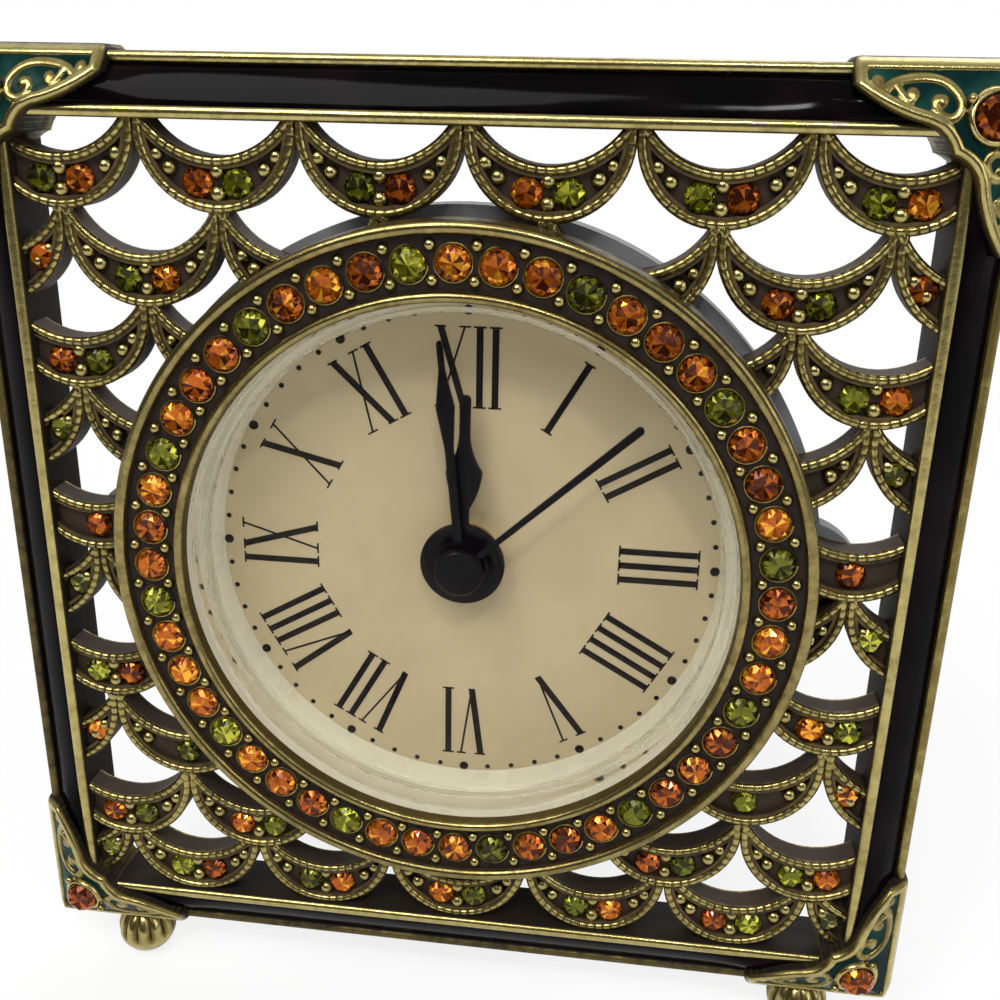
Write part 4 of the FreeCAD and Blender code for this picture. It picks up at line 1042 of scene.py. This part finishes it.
@dataclass
class CornerBrackets:
    """Ogee corner plates with a raised border, scrolls, an enamel field and a stone."""

    leg: float = BRACKET_LEG
    border: float = 1.15
    rise: float = 1.1
    crown: float = 1.0
    bulge: float = 0.55
    fall: float = 1.9
    back: float = 5.6
    base: float = 0.3
    recess: float = 0.42
    field_edge: float = 0.35
    field_depth: float = 0.34
    field_thickness: float = 0.35
    meniscus: float = 0.1
    pitch: float = 0.13
    snap: float = 1.05
    stone: float = 3.2
    stone_inset: float = 4.2
    bead: float = 0.85
    bead_insets: tuple = ((6.24, 2.98), (2.98, 6.24))
    scroll: tuple = ((13.0, 1.9), (12.78, 2.36), (12.36, 2.45), (11.9, 2.05), (11.03, 1.69), (9.82, 1.52),
                     (8.69, 1.6), (7.82, 1.97), (7.16, 2.65), (6.82, 3.43), (6.95, 4.1), (7.55, 4.45), (8.31, 4.2),
                     (8.74, 3.58), (8.6, 3.12), (8.21, 3.12))
    fork: tuple = ((11.7, 2.0), (11.17, 2.83), (10.76, 3.2), (10.37, 3.09), (10.32, 2.73))
    blobs: tuple = ((13.0, 1.85), (8.25, 3.2), (10.4, 2.75))
    scroll_width: float = 0.52
    fork_width: float = 0.45
    blob_width: float = 0.68
    collar_gap: float = 0.3
    collar_width: float = 0.38

    def outline(self) -> Array:
        """Outline points in mm from the outer corner, along one leg and across it.

        Returns:
            Rows of points round the plate.
        """
        def circle(a: Array, b: Array, c: Array) -> list[Array]:
            """Points of the arc from a over b to c.

            Args:
                a: its first point.
                b: a point on its way.
                c: its last point.

            Returns:
                The points.
            """
            m = np.array([2 * (b - a), 2 * (c - a)])
            centre = np.linalg.solve(m, np.array([b @ b - a @ a, c @ c - a @ a]))
            radius = np.linalg.norm(a - centre)
            angles = np.unwrap([math.atan2(*(p - centre)[::-1]) for p in (a, b, c)])
            steps = np.linspace(angles[0], angles[2], 24)
            return [centre + radius * np.array([math.cos(t), math.sin(t)]) for t in steps]

        leg = self.leg
        p = {k: np.array(v) * leg for k, v in {
            "tip": (1, 0.15), "swell": (0.83, 0.262), "neck": (0.633, 0.333), "hollow": (0.53, 0.40),
            "nose": (0.483, 0.483)}.items()}
        lower = circle(p["tip"], p["swell"], p["neck"]) + circle(p["neck"], p["hollow"], p["nose"])[1:]
        upper = [q[::-1] for q in reversed(lower)][1:]
        corner = [np.array(q) for q in arc((2.2, 2.2), (2.2, 2.2), 180, 270, 12)]
        straight = [np.array((x, 0.0)) for x in np.linspace(3.0, leg - 0.9, 30)]
        tip = [np.array(q) for q in arc((leg - 0.6, 0.6), (0.6, 0.6), -90, 0, 6)]
        mirrored = [q[::-1] for q in reversed(tip)] + [q[::-1] for q in reversed(straight)]
        return np.array(mirrored + corner + straight + tip + lower + upper)

    @staticmethod
    def smooth_line(points: tuple, count: int = 90) -> Array:
        """Smooth curve through given points.

        Args:
            points: the points to pass.
            count: number of points on the curve.

        Returns:
            Rows of points.
        """
        data = np.array(points)
        knots = np.concatenate([[0], np.cumsum(np.linalg.norm(np.diff(data, axis=0), axis=1))])
        from_ends = np.vstack([2 * data[0] - data[1], data, 2 * data[-1] - data[-2]])
        out = []
        for t in np.linspace(0, knots[-1], count):
            i = min(int(np.searchsorted(knots, t, side="right")) - 1, len(data) - 2)
            u = (t - knots[i]) / (knots[i + 1] - knots[i])
            p0, p1, p2, p3 = from_ends[i:i + 4]
            out.append(0.5 * (2 * p1 + (p2 - p0) * u + (2 * p0 - 5 * p1 + 4 * p2 - p3) * u ** 2
                              + (3 * p1 - p0 - 3 * p2 + p3) * u ** 3))
        return np.array(out)

    def crown_depth(self, across: Array) -> Array:
        """Depth of the plate's face at a distance from the frame's opening.

        Args:
            across: distances from the opening.

        Returns:
            The depths.
        """
        edge = RAIL_WIDTH + 0.5
        share = np.clip((across - self.crown) / (edge - self.crown), 0, 1)
        return -self.rise + (self.fall + self.rise) * share - self.bulge * np.sin(math.pi * share)

    @staticmethod
    def distances(points: Array, outline: Array) -> tuple[Array, Array]:
        """Measure points against an outline.

        Args:
            points: rows of flat points.
            outline: rows of points round the outline.

        Returns:
            Each point's distance, positive inside, and the outline's nearest place to it.
        """
        closed = np.vstack([outline, outline[:1]])
        a, b = closed[:-1], closed[1:]
        ab = b - a
        t = np.clip(((points[:, None, :] - a[None]) * ab).sum(-1) / (ab ** 2).sum(-1), 0, 1)
        near = a[None] + t[..., None] * ab[None]
        gap = np.linalg.norm(points[:, None, :] - near, axis=-1)
        each, best = np.arange(len(points)), gap.argmin(1)
        crosses = (a[None, :, 1] > points[:, None, 1]) != (b[None, :, 1] > points[:, None, 1])
        run = np.where(np.abs(ab[:, 1]) < 1e-9, 1e-9, ab[:, 1])
        hit = a[None, :, 0] + (points[:, None, 1] - a[None, :, 1]) / run * ab[None, :, 0]
        inside = (crosses & (points[:, None, 0] < hit)).sum(1) % 2 == 1
        return np.where(inside, gap[each, best], -gap[each, best]), near[each, best]

    def relief(self, points: Array) -> Array:
        """Height share of the scrolls, forks and blobs at flat points.

        Args:
            points: rows of flat points.

        Returns:
            A share for each point.
        """
        lines = [(self.smooth_line(self.scroll), self.scroll_width), (self.smooth_line(self.fork, 40), self.fork_width)]
        lines += [(np.array([blob]), self.blob_width) for blob in self.blobs]
        height = np.zeros(len(points))
        for line, width in lines:
            for way in (line, line[:, ::-1]):
                far = np.linalg.norm(points[:, None, :] - way[None], axis=-1).min(1)
                height = np.maximum(height, np.sqrt(np.clip(1 - (far / width) ** 2, 0, 1)))
        return height

    def corner(self, index: int, name: str) -> None:
        """Make one corner's plate and enamel.

        Args:
            index: quarter turns from the top right corner, clockwise.
            name: the corner's name in the CAD nodes.
        """
        size = int(self.leg / self.pitch) + 3
        axis = (np.arange(size) - 1) * self.pitch
        u, v = np.meshgrid(axis, axis, indexing="ij")
        flat = np.stack([u.ravel(), v.ravel()], -1)
        signed, nearest = self.distances(flat, self.outline())
        reach = self.pitch * self.snap
        # The rim of cells that the outline crosses is pulled onto it
        crossed = (signed < 0) & (-signed < reach)
        points = np.where(crossed[:, None], nearest, flat)
        grid = CornerGrid(size, points, math.radians(90 * index))
        inset = np.where(signed < 0, 0.0, signed)
        edge = np.sqrt(np.clip(1 - ((inset - self.border / 2) / (self.border / 2)) ** 2, 0, 1))
        from_stone = np.linalg.norm(points - np.array([self.stone_inset, self.stone_inset]), axis=-1)
        collar = np.sqrt(np.clip(1 - ((from_stone - self.stone / 2 - self.collar_gap) / self.collar_width) ** 2, 0, 1))
        height = np.maximum.reduce([edge * 0.95, self.relief(points) * 0.75, collar * 1.05])
        face = self.crown_depth(BRACKET_EDGE - points.min(1) - HALF_OPENING)
        floor = self.base + self.recess
        front = np.where(from_stone < self.stone / 2 - 0.05, face + 0.5, face + floor - height * (floor + 0.12))
        tarnish = np.clip(0.95 - 1.05 * height ** 0.8, 0.0, 1.0) + 0.12
        plate = grid.sheet("corner_plate_" + name, signed > -reach, front, np.full(len(flat), self.back),
                           FINISHES.brass, tarnish)
        settle(plate, "clock", "antique_brass", "corner_bracket_" + name)
        inner = (signed > self.border * self.field_edge) & ~(from_stone < self.stone / 2)
        pool = face + self.field_depth - self.meniscus * np.exp(-np.clip(signed - self.border, 0, 9) / 0.5)
        enamel = grid.sheet("corner_enamel_" + name, inner, pool, pool + self.field_thickness, FINISHES.teal,
                            np.zeros(len(flat)))
        settle(enamel, "clock", "teal_enamel", "teal_enamel_fields")

    def build(self) -> None:
        """Make the four corners and their stones."""
        for index, name in enumerate(("top_right", "bottom_right", "bottom_left", "top_left")):
            self.corner(index, name)
        at = BRACKET_EDGE - self.stone_inset
        ways = [(x, z) for x in (-1, 1) for z in (-1, 1)]
        places = [(x * at, -self.rise + 0.42, z * at) for x, z in ways]
        stones = scatter("corner_stone_set", places, [self.stone] * 4, STONE, FINISHES.amber, 5)
        settle(stones, "clock", "amber_crystal", "corner_stones")
        beads = [(x * (BRACKET_EDGE - p), -self.rise + 0.35, z * (BRACKET_EDGE - q))
                 for x, z in ways for p, q in self.bead_insets]
        piece = scatter("corner_beads", beads, [self.bead] * len(beads), BEAD, FINISHES.bead, 6)
        settle(piece, "clock", "antique_brass")


@dataclass
class FishScaleGrille:
    """Rope rims, beads and stones on the pierced grille."""

    pitch: float = 14.0
    radius: float = 7.05
    band: float = 4.7
    inner_radius: float = 7.25
    rim: float = 0.41
    rim_inset: float = 0.42
    notch: float = 0.13
    notch_pitch: float = 0.84
    overhang: float = 1.6
    bead_margin: float = 0.45
    bead_spread: tuple = (1.05, 1.2)
    stone: float = 2.6
    stone_offset: float = 1.75
    stone_rise: float = 2.5
    edge_inset: float = 1.55
    edge_rise: float = 4.1
    row_shares: tuple = (0.097, 0.203, 0.301, 0.404, 0.505, 0.606, 0.709, 0.818, 0.923, 1.003)
    words: tuple = ("GA AG GA AG GA GA", "A GA - - - AG A", "AG - - - - GA", "G - - - - - G", "A - - - - A",
                    "G - - - - - G", "GA - - - - AG", "A G - - - G A", "AG AG - - AG GA", "G GA GA AG GA AG G")

    def rows(self) -> list[list[tuple[float, float]]]:
        """X and lowest Z of every scale, row by row."""
        return [[(column * self.pitch / 2, HALF_OPENING - 2 * HALF_OPENING * share)
                 for column in range(-5 if index % 2 == 0 else -6, 7, 2)]
                for index, share in enumerate(self.row_shares)]

    @staticmethod
    def seen(x: float, z: float, margin: float = 0.0) -> bool:
        """Whether a place lies outside the bezel and inside the frame."""
        return (math.hypot(x, z) > BEZEL_RADIUS - 0.35 + margin and abs(x) < HALF_OPENING + 0.3 - margin
                and abs(z) < HALF_OPENING + 0.3 - margin)

    def covered(self, x: float, z: float, above: list[tuple[float, float]]) -> bool:
        """Whether a scale of the row above lies over a place."""
        return any(math.hypot(x - a, z - b - self.radius) < self.radius - self.rim_inset + 0.15 for a, b in above)

    def runs(self, line: Array, above: list[tuple[float, float]]) -> list[Array]:
        """Split a rim's line into its stretches in sight.

        Args:
            line: rows of the rim's points.
            above: X and lowest Z of the scales in the row above.

        Returns:
            Rows of points for each stretch.
        """
        kept, now = [], []
        for p in line:
            if self.seen(p[0], p[2]) and not self.covered(p[0], p[2], above):
                now.append(p)
            else:
                if len(now) > 3:
                    kept.append(np.array(now))
                now = []
        if len(now) > 3:
            kept.append(np.array(now))
        return kept

    def scale_lines(self, x: float, bottom: float, above: list[tuple[float, float]]) -> list[Array]:
        """Rims in sight of one scale.

        Args:
            x: the scale's middle.
            bottom: its lowest Z.
            above: X and lowest Z of the scales in the row above.

        Returns:
            Points of each stretch of rim, in local mm.
        """
        lines = []
        top = (above[0][1] if above else HALF_OPENING) + self.overhang
        for centre, radius, spread in (
                (bottom + self.radius, self.radius - self.rim_inset, 112.0),
                (bottom + self.band + self.inner_radius, self.inner_radius + self.rim_inset, 72.0)):
            angles = np.radians(np.linspace(-90 - spread, -90 + spread, 120))
            line = bow(x, GRILLE_FRONT + 0.1, centre, radius, angles)
            lines.extend(self.runs(line[line[:, 2] < top], above))
        return lines

    @staticmethod
    def bead_spots(word: str) -> list[Point]:
        """Choose a scale's beads.

        Args:
            word: the scale's stones, or - for none.

        Returns:
            Offset in X, offset in Z and diameter of each bead.
        """
        spots = [] if len(word) == 1 and word != "-" else [(0.0, 1.6, 1.35), (0.0, 3.45, 1.25)]
        spots += [(side * x, z, diameter) for x, z, diameter in ((4.15, 3.65, 1.3), (5.2, 4.75, 1.2))
                  for side in (-1, 1)]
        return spots + ([(-1.75, 2.55, 1.3), (1.75, 2.55, 1.3)] if word == "-" else [])

    def stone_spots(self, x: float, bottom: float, word: str) -> list[Point]:
        """Places of a scale's stones, in the order of its letters.

        Args:
            x: the scale's middle.
            bottom: its lowest Z.
            word: its stones, or - for none.

        Returns:
            A place for each letter.
        """
        if word == "-":
            return []
        if abs(x) > HALF_OPENING - self.radius / 2:
            return [(math.copysign(HALF_OPENING - self.edge_inset, x), GRILLE_FLOOR, bottom + self.edge_rise)]
        offsets = (-self.stone_offset, self.stone_offset) if len(word) == 2 else (0.0,)
        return [(x + offset, GRILLE_FLOOR, bottom + self.stone_rise) for offset in offsets]

    def build(self) -> None:
        """Make rims, beads and stones."""
        rows = self.rows()
        lines, beads, sizes = [], [], []
        stones: dict[str, list[Point]] = {"amber": [], "green": []}
        tones = {"A": "amber", "G": "green"}
        rng = np.random.default_rng(8)
        for index, row in enumerate(rows):
            above = rows[index - 1] if index else []
            for (x, bottom), word in zip(row, self.words[index].split()):
                lines.extend(self.scale_lines(x, bottom, above))
                for dx, dz, diameter in self.bead_spots(word):
                    px, pz = x + dx, bottom + dz
                    if self.seen(px, pz, self.bead_margin) and not self.covered(px, pz, above):
                        beads.append((px, GRILLE_FLOOR - 0.05, pz))
                        sizes.append(diameter * rng.uniform(*self.bead_spread))
                for letter, spot in zip(word, self.stone_spots(x, bottom, word)):
                    stones[tones[letter]].append(spot)
        rims = rope_lines("scale_rims", lines, self.rim, self.notch_pitch, self.notch, FINISHES.bead)
        settle(rims, "clock", "antique_brass")
        settle(scatter("scale_beads", beads, sizes, BEAD, FINISHES.bead, 9), "clock", "antique_brass")
        set_stones("scale", "grille", stones, self.stone, 21)


@dataclass
class JewelledBezel:
    """Round ring with two plain rims, a dark channel, stones and paired beads."""

    outer: float = BEZEL_RADIUS
    outer_rim: float = 1.1
    inner_rim: float = 0.9
    bore: float = 25.3
    rise: float = 2.7
    channel: float = 1.9
    circle: float = 28.5
    stone: float = 3.05
    fit: float = 0.97
    count: int = 48
    first_deg: float = -8.0
    green_every: int = 4
    bead: float = 1.12
    bead_circles: tuple = (27.08, 29.98)
    cup: float = 1.6
    cup_rim: float = 0.13
    flange: float = 0.04
    seat: float = 30.4
    back: float = 3.3

    def build(self) -> None:
        """Make the ring, its stones and beads."""
        out_in, in_out, edge = self.outer - self.outer_rim, self.bore + self.inner_rim, self.outer + self.flange
        left = arc(((self.bore + in_out) / 2, -self.rise + 0.45), (self.inner_rim / 2, 0.45), 180, 360, 9)
        right = arc(((self.outer + out_in) / 2, -self.rise + 0.5), (self.outer_rim / 2, 0.5), 180, 360, 9)
        profile = [(self.bore, self.back, 0.7), (self.bore, 0.0, 0.5)] + worn_rim(left, -self.rise, 0.5, 0.19, 0.5)
        profile += [(in_out + 0.05, -self.channel, 1.0), (self.circle, -self.channel + 0.02, 0.93),
                    (out_in - 0.05, -self.channel, 1.0)]
        profile += worn_rim(right, -self.rise, 0.5, 0.19, 0.5)
        profile += [(edge, -0.9, 0.5), (edge, GRILLE_FRONT, 0.85), (self.seat, GRILLE_FRONT, 0.9),
                    (self.seat, self.back, 0.9)]
        settle(lathe("bezel_casting", profile, FINISHES.brass_bezel, 240), "clock", "antique_brass", "bezel_ring")
        stones: dict[str, list[Point]] = {"amber": [], "green": []}
        beads, rings = [], []
        angles = np.linspace(0, 2 * math.pi, 25)
        for index in range(self.count):
            turn = math.radians(90 - self.first_deg - 360 * index / self.count)
            x, y, z = around(self.circle, -self.channel, turn)
            stones["amber" if index % self.green_every else "green"].append((x, y, z))
            rings.append(bow(x, y - 0.04, z, self.cup, angles))
            between = turn + math.pi / self.count
            beads += [around(radius, -self.channel - 0.02, between) for radius in self.bead_circles]
        set_stones("ring", "bezel", stones, self.stone * self.fit, 31)
        piece = scatter("ring_beads", beads, [self.bead] * len(beads), BEAD, FINISHES.bead, 33)
        settle(piece, "clock", "antique_brass")
        cups = rope_lines("ring_cup_edges", rings, self.cup_rim, pitch=50.0, notch=0.0, material=FINISHES.bead)
        settle(cups, "clock", "antique_brass")


@dataclass
class Optics:
    """Lens with a rounded shoulder and the pale wall behind it."""

    radius: float = 25.2
    front: float = -1.7
    thickness: float = 1.1
    shoulder: float = 1.6
    skirt: float = 1.0
    skirt_end: float = 2.2
    wall: float = 1.1

    def build(self) -> None:
        """Make the lens and the reflector."""
        r, s = self.radius, self.shoulder
        inner, inner_s = r - self.skirt, s - self.skirt / 2
        back = self.front + self.thickness
        outside = [(x, y, 0.0) for x, y in arc((r - s, self.front + s), (s, s), -90, 0, 12)]
        inside = [(x, y, 0.0) for x, y in arc((inner - inner_s, back + inner_s), (inner_s, inner_s), 0, -90, 10)]
        profile = [(0.0, self.front, 0.0)] + outside + [(r, self.skirt_end, 0.0), (inner, self.skirt_end, 0.0)]
        profile += inside + [(0.0, back, 0.0)]
        settle(lathe("lens_cap", profile, FINISHES.lens, 192), "clock", "clear_lens", "lens")
        end, foot = self.skirt_end + 0.03, DIAL_FRONT - 0.001
        wall = [(r + 0.09, self.front + 0.35, 0), (r + 0.04, self.front + 0.35, 0), (r + 0.04, end, 0),
                (r - 0.35, end, 0), (r - 0.75, self.skirt_end + 0.5, 0), (r - self.wall, DIAL_FRONT - 0.5, 0),
                (r - self.wall - 0.15, foot, 0), (r + 0.09, foot, 0)]
        reflector = lathe("reflector_wall", wall, FINISHES.reflector, 192, sharp_deg=30)
        settle(reflector, "clock", "reflector_white", "reflector_ring")


class Stroke(Enum):
    """Strokes of the numerals."""

    THICK = 0.62
    THIN = 0.2


@dataclass
class DialPrint:
    """Roman numerals and minute dots printed on the dial."""

    inner: float = 14.5
    outer: float = 22.05
    dots: float = 23.5
    dot_sizes: tuple = (0.52, 0.92)
    ink: float = 0.03
    serif: float = 0.17
    words: tuple = ("XII", "I", "II", "III", "IIII", "V", "VI", "VII", "VIII", "IX", "X", "XI")

    def numeral(self, word: str) -> list[Array]:
        """Quads of one numeral, standing upright on X with its height along Z.

        Args:
            word: the numeral's letters.

        Returns:
            Four corners for each quad, in mm.
        """
        height = self.outer - self.inner
        widths = {"I": 1.15, "V": 3.0, "X": 3.3}
        gap = 0.28
        total = sum(widths[c] for c in word) + gap * (len(word) - 1)
        quads: list[Array] = []
        left = -total / 2

        def bar(x0: float, x1: float, wide: float, z0: float = 0.0, z1: float = height) -> None:
            """Slanted stroke from the foot x0 to the head x1."""
            quads.append(np.array([(x0 - wide / 2, z0), (x0 + wide / 2, z0), (x1 + wide / 2, z1), (x1 - wide / 2, z1)]))

        def serif(x: float, z: float, wide: float) -> None:
            """Short level stroke."""
            z0 = min(max(z - self.serif / 2, 0.0), height - self.serif)
            quads.append(np.array([(x - wide / 2, z0), (x + wide / 2, z0), (x + wide / 2, z0 + self.serif),
                                   (x - wide / 2, z0 + self.serif)]))

        for letter in word:
            w = widths[letter]
            mid = left + w / 2
            if letter == "I":
                bar(mid, mid, Stroke.THICK.value)
                serif(mid, 0.0, w)
                serif(mid, height, w)
            elif letter == "V":
                bar(mid, left + 0.5, Stroke.THICK.value * 1.05)
                bar(mid, left + w - 0.45, Stroke.THIN.value)
                serif(left + 0.55, height, 1.1)
                serif(left + w - 0.5, height, 0.9)
            else:
                bar(left + w - 0.55, left + 0.55, Stroke.THICK.value * 1.05)
                bar(left + 0.5, left + w - 0.5, Stroke.THIN.value)
                for x in (left + 0.55, left + w - 0.5):
                    serif(x, height, 1.05)
                    serif(x, 0.0, 1.05)
            left += w + gap
        return quads

    def build(self) -> None:
        """Make the numerals and the dots."""
        points: list[Array] = []
        faces: list[tuple[int, ...]] = []
        for hour, word in enumerate(self.words):
            turn = math.radians(30 * hour)
            for quad in self.numeral(word):
                start = len(points)
                for y in (DIAL_FRONT - self.ink, DIAL_FRONT):
                    points += [turned(u, y, self.inner + v, turn) for u, v in quad]
                faces.append((start, start + 1, start + 2, start + 3))
                faces.append((start + 7, start + 6, start + 5, start + 4))
                for k in range(4):
                    n = (k + 1) % 4
                    faces.append((start + n, start + k, start + 4 + k, start + 4 + n))
        numerals = make_piece("dial_numerals", np.array(points), faces, FINISHES.ink, sharp_deg=0)
        settle(numerals, "clock", "hand_black")
        places, sizes = [], []
        for minute in range(60):
            places.append(turned(0.0, DIAL_FRONT, self.dots, math.radians(6 * minute)))
            sizes.append(self.dot_sizes[minute % 5 == 0])
        settle(scatter("dial_dots", places, sizes, self.dot_shape(), FINISHES.ink, 41), "clock", "hand_black")

    @staticmethod
    def dot_shape(rim: int = 12) -> Object:
        """Thin disc of unit diameter."""
        points = [(0.0, -0.04, 0.0)] + [around(0.5, depth, 2 * math.pi * step / rim)
                                        for depth in (-0.04, 0.0) for step in range(rim)]
        return template("dot_shape", points, dome_faces(2, rim), "tarnish", [0.0] * len(points))


@dataclass
class DialNut:
    """Ring nut that holds the dial, hidden under the hour hand's hub."""

    bore: float = 3.03
    radius: float = 3.3
    thickness: float = 1.2
    bevel: float = 0.1

    def build(self) -> None:
        """Make the nut."""
        front, back = DIAL_FRONT - self.thickness, DIAL_FRONT - 0.005
        profile = [(self.bore, front, 0.2), (self.radius - self.bevel, front, 0.2),
                   (self.radius, front + self.bevel, 0.2), (self.radius, back, 0.5), (self.bore, back, 0.5)]
        settle(lathe("ring_nut", profile, FINISHES.wheel_brass, 64), "clock", "wheel_brass", "dial_nut")


@dataclass
class BallFeet:
    """Fluted ball feet under the lower brackets."""

    reach: float = 36.0
    setback: float = 4.2
    drop: float = 2.7
    radius: float = 3.1
    flutes: int = 12
    flute_depth: float = 0.34
    around: int = 96
    rings: int = 30
    dark_rings: int = 4
    cut: float = 0.12
    fade_from_deg: float = 92.0
    fade: float = 0.25

    def foot(self, side: int, node: str) -> None:
        """Make one foot.

        Args:
            side: -1 for the left foot and 1 for the right one.
            node: the CAD node that it stands for.
        """
        middle = -BRACKET_EDGE - self.drop
        points, marks = [], []
        for ring in range(self.rings + 1):
            tilt = math.pi * (self.cut + (1 - self.cut) * ring / self.rings)
            past = (tilt - math.radians(self.fade_from_deg)) / self.fade
            shown = math.sin(tilt) ** 1.5 * min(1.0, max(0.0, 1 - past))
            for step in range(self.around):
                turn = 2 * math.pi * step / self.around
                groove = (1 - abs(math.sin(turn * self.flutes / 2)) ** 0.6) * shown
                r = max(self.radius * math.sin(tilt) - self.flute_depth * groove, 0.0)
                points.append((side * self.reach + r * math.cos(turn), self.setback + r * math.sin(turn),
                               middle + self.radius * math.cos(tilt)))
                marks.append(min(1.0, 0.12 + 0.8 * groove + (0.5 if ring < self.dark_rings else 0.0)))
        faces = wrap_faces(self.rings + 1, self.around, False) + [tuple(reversed(range(self.around)))]
        piece = make_piece("ball_" + node, np.array(points), faces, FINISHES.brass, np.array(marks), grounded=True)
        settle(piece, "clock", "antique_brass", node)

    def build(self) -> None:
        """Make both feet."""
        self.foot(-1, "foot_left")
        self.foot(1, "foot_right")


@dataclass
class CarriedParts:
    """Finishes of the CAD nodes that stay in sight."""

    finishes: dict[str, str] = field(default_factory=lambda: {
        "brass_grille": "scale_grille", "dial": "dial", "case": "movement_case",
        "steel": "case_screws rotor stator coil_core cover_screws bracket_screws hinge_pin foot_studs",
        "movement": "front_plate train_bridge coil_bobbin",
        "wheel": "second_wheel third_wheel centre_wheel motion_wheel intermediate_wheel",
        "wheel_brass": "cannon_pinion hour_wheel cell_contacts", "copper": "coil_winding", "board": "circuit_board",
        "cell": "quartz_crystal button_cell", "cover": "rear_cover battery_door setting_knob",
        "brass_plain": "strut_bracket strut", "hand": "hour_hand minute_hand second_hand"})

    def build(self) -> None:
        """Assign the finishes."""
        for finish, nodes in self.finishes.items():
            for node in nodes.split():
                mesh = frame["nodes"][node].data
                mesh.materials.clear()
                mesh.materials.append(getattr(FINISHES, finish))
            LOG.info("%s on the CAD shapes %s", finish, nodes)


@dataclass
class Studio:
    """Camera, floor and lights."""

    camera_mm: Point = (15.0, -102.3, 104.17)
    camera_deg: Point = (62.0744, -0.0989, 7.4652)
    focal_share: float = 1.1094
    floor_half: float = 1.5
    floor_colour: Colour = (0.86, 0.86, 0.85)
    shadow_near: float = 0.08
    shadow_far: float = 0.30
    ambient: float = 0.42
    room: Colour = (0.10, 0.095, 0.09)
    lamps: tuple = (("window", (-0.2, -0.3, 0.58), 0.32, 2.45), ("glint", (0.08, -0.3, 0.5), 0.05, 0.6),
                    ("fill", (0.5, -0.25, 0.3), 0.4, 0.9), ("rim", (0.1, 0.45, 0.45), 0.35, 1.2))

    def camera(self) -> None:
        """Set the camera at the photograph's viewing angle."""
        data = bpy.data.cameras.new("camera")
        data.sensor_fit = "HORIZONTAL"
        data.sensor_width = 36.0
        data.lens = 36.0 * self.focal_share
        data.clip_start = 0.005
        eye = link("camera", data)
        eye.location = Vector(self.camera_mm) * MM
        eye.rotation_euler = [math.radians(a) for a in self.camera_deg]
        bpy.context.scene.camera = eye

    @staticmethod
    def lamp(name: str, place: Point, size: float, power: float) -> None:
        """Add a soft square lamp that looks at the clock.

        Args:
            name: the lamp's name.
            place: its place in metres.
            size: its side in metres.
            power: its power in watts.
        """
        data = bpy.data.lights.new(name, "AREA")
        data.size = size
        data.energy = power
        lamp = link(name, data)
        lamp.location = place
        lamp.rotation_euler = (Vector((0, 0, 0.045)) - Vector(place)).to_track_quat("-Z", "Y").to_euler()

    def floor(self) -> None:
        """Lay the pale floor."""
        half = self.floor_half
        mesh = bpy.data.meshes.new("floor")
        mesh.from_pydata([(-half, -half, 0), (half, -half, 0), (half, half, 0), (-half, half, 0)], [], [(0, 1, 2, 3)])
        material, tree, shader = new_material("floor_pale")
        shade = tree.remap(tree.noise(8.0, 2.0), 0.3, 0.7)
        tree.fill(shader, {"Base Color": tree.mix(shade, self.floor_colour, (0.84, 0.84, 0.83)), "Roughness": 0.9})
        path = tree.add("ShaderNodeLightPath").outputs
        seen = tree.math("MAXIMUM", path["Is Camera Ray"], path["Is Transmission Ray"])
        reach = tree.add("ShaderNodeVectorMath", {0: tree.coords()}, operation="LENGTH").outputs["Value"]
        share = tree.remap(reach, self.shadow_near, self.shadow_far, 0.78, 1.0)
        glow = tree.add("ShaderNodeEmission", {"Color": (1, 1, 1), "Strength": 1.0})
        tree.mix_shaders(tree.math("MULTIPLY", seen, share), shader, glow)
        mesh.materials.append(material)
        link("floor", mesh)

    def world(self) -> None:
        """Light the room softly, with a white background where the camera or a gloss looks past the clock."""
        world = bpy.data.worlds.new("room")
        world.use_nodes = True
        bpy.context.scene.world = world
        tree = Tree(world.node_tree)
        path = tree.add("ShaderNodeLightPath").outputs
        clear = tree.math("MAXIMUM", path["Is Camera Ray"], path["Is Transmission Ray"])
        seen = tree.math("MAXIMUM", clear, path["Is Glossy Ray"])
        way = tree.add("ShaderNodeSeparateXYZ", {0: tree.add("ShaderNodeTexCoord").outputs["Generated"]}).outputs
        behind = tree.remap(way["Y"], -0.1, 0.35)
        above = tree.math("MULTIPLY", tree.remap(way["Z"], 0.35, 0.95), 0.5)
        gloss = tree.mix(tree.math("MAXIMUM", behind, above), self.room, (1, 1, 1))
        shown = tree.mix(tree.math("SUBTRACT", seen, clear, clamp=True), (1, 1, 1), gloss)
        strength = tree.math("MULTIPLY_ADD", seen, 1 - self.ambient, self.ambient)
        tree.fill(world.node_tree.nodes["Background"], {"Color": shown, "Strength": strength})

    def build(self) -> None:
        """Set up the studio."""
        bpy.context.scene.view_settings.view_transform = "Standard"
        self.camera()
        self.floor()
        self.world()
        for lamp in self.lamps:
            self.lamp(*lamp)


def main() -> None:
    """Build the clock's looks in order."""
    logging.basicConfig(level=logging.INFO, format="%(message)s")
    for part in (SquareFrame(), CornerBrackets(), FishScaleGrille(), JewelledBezel(), Optics(), DialPrint(),
                 DialNut(), BallFeet(), CarriedParts(), Studio()):
        LOG.info("building %s", type(part).__name__)
        part.build()


if __name__ == "__main__":
    main()
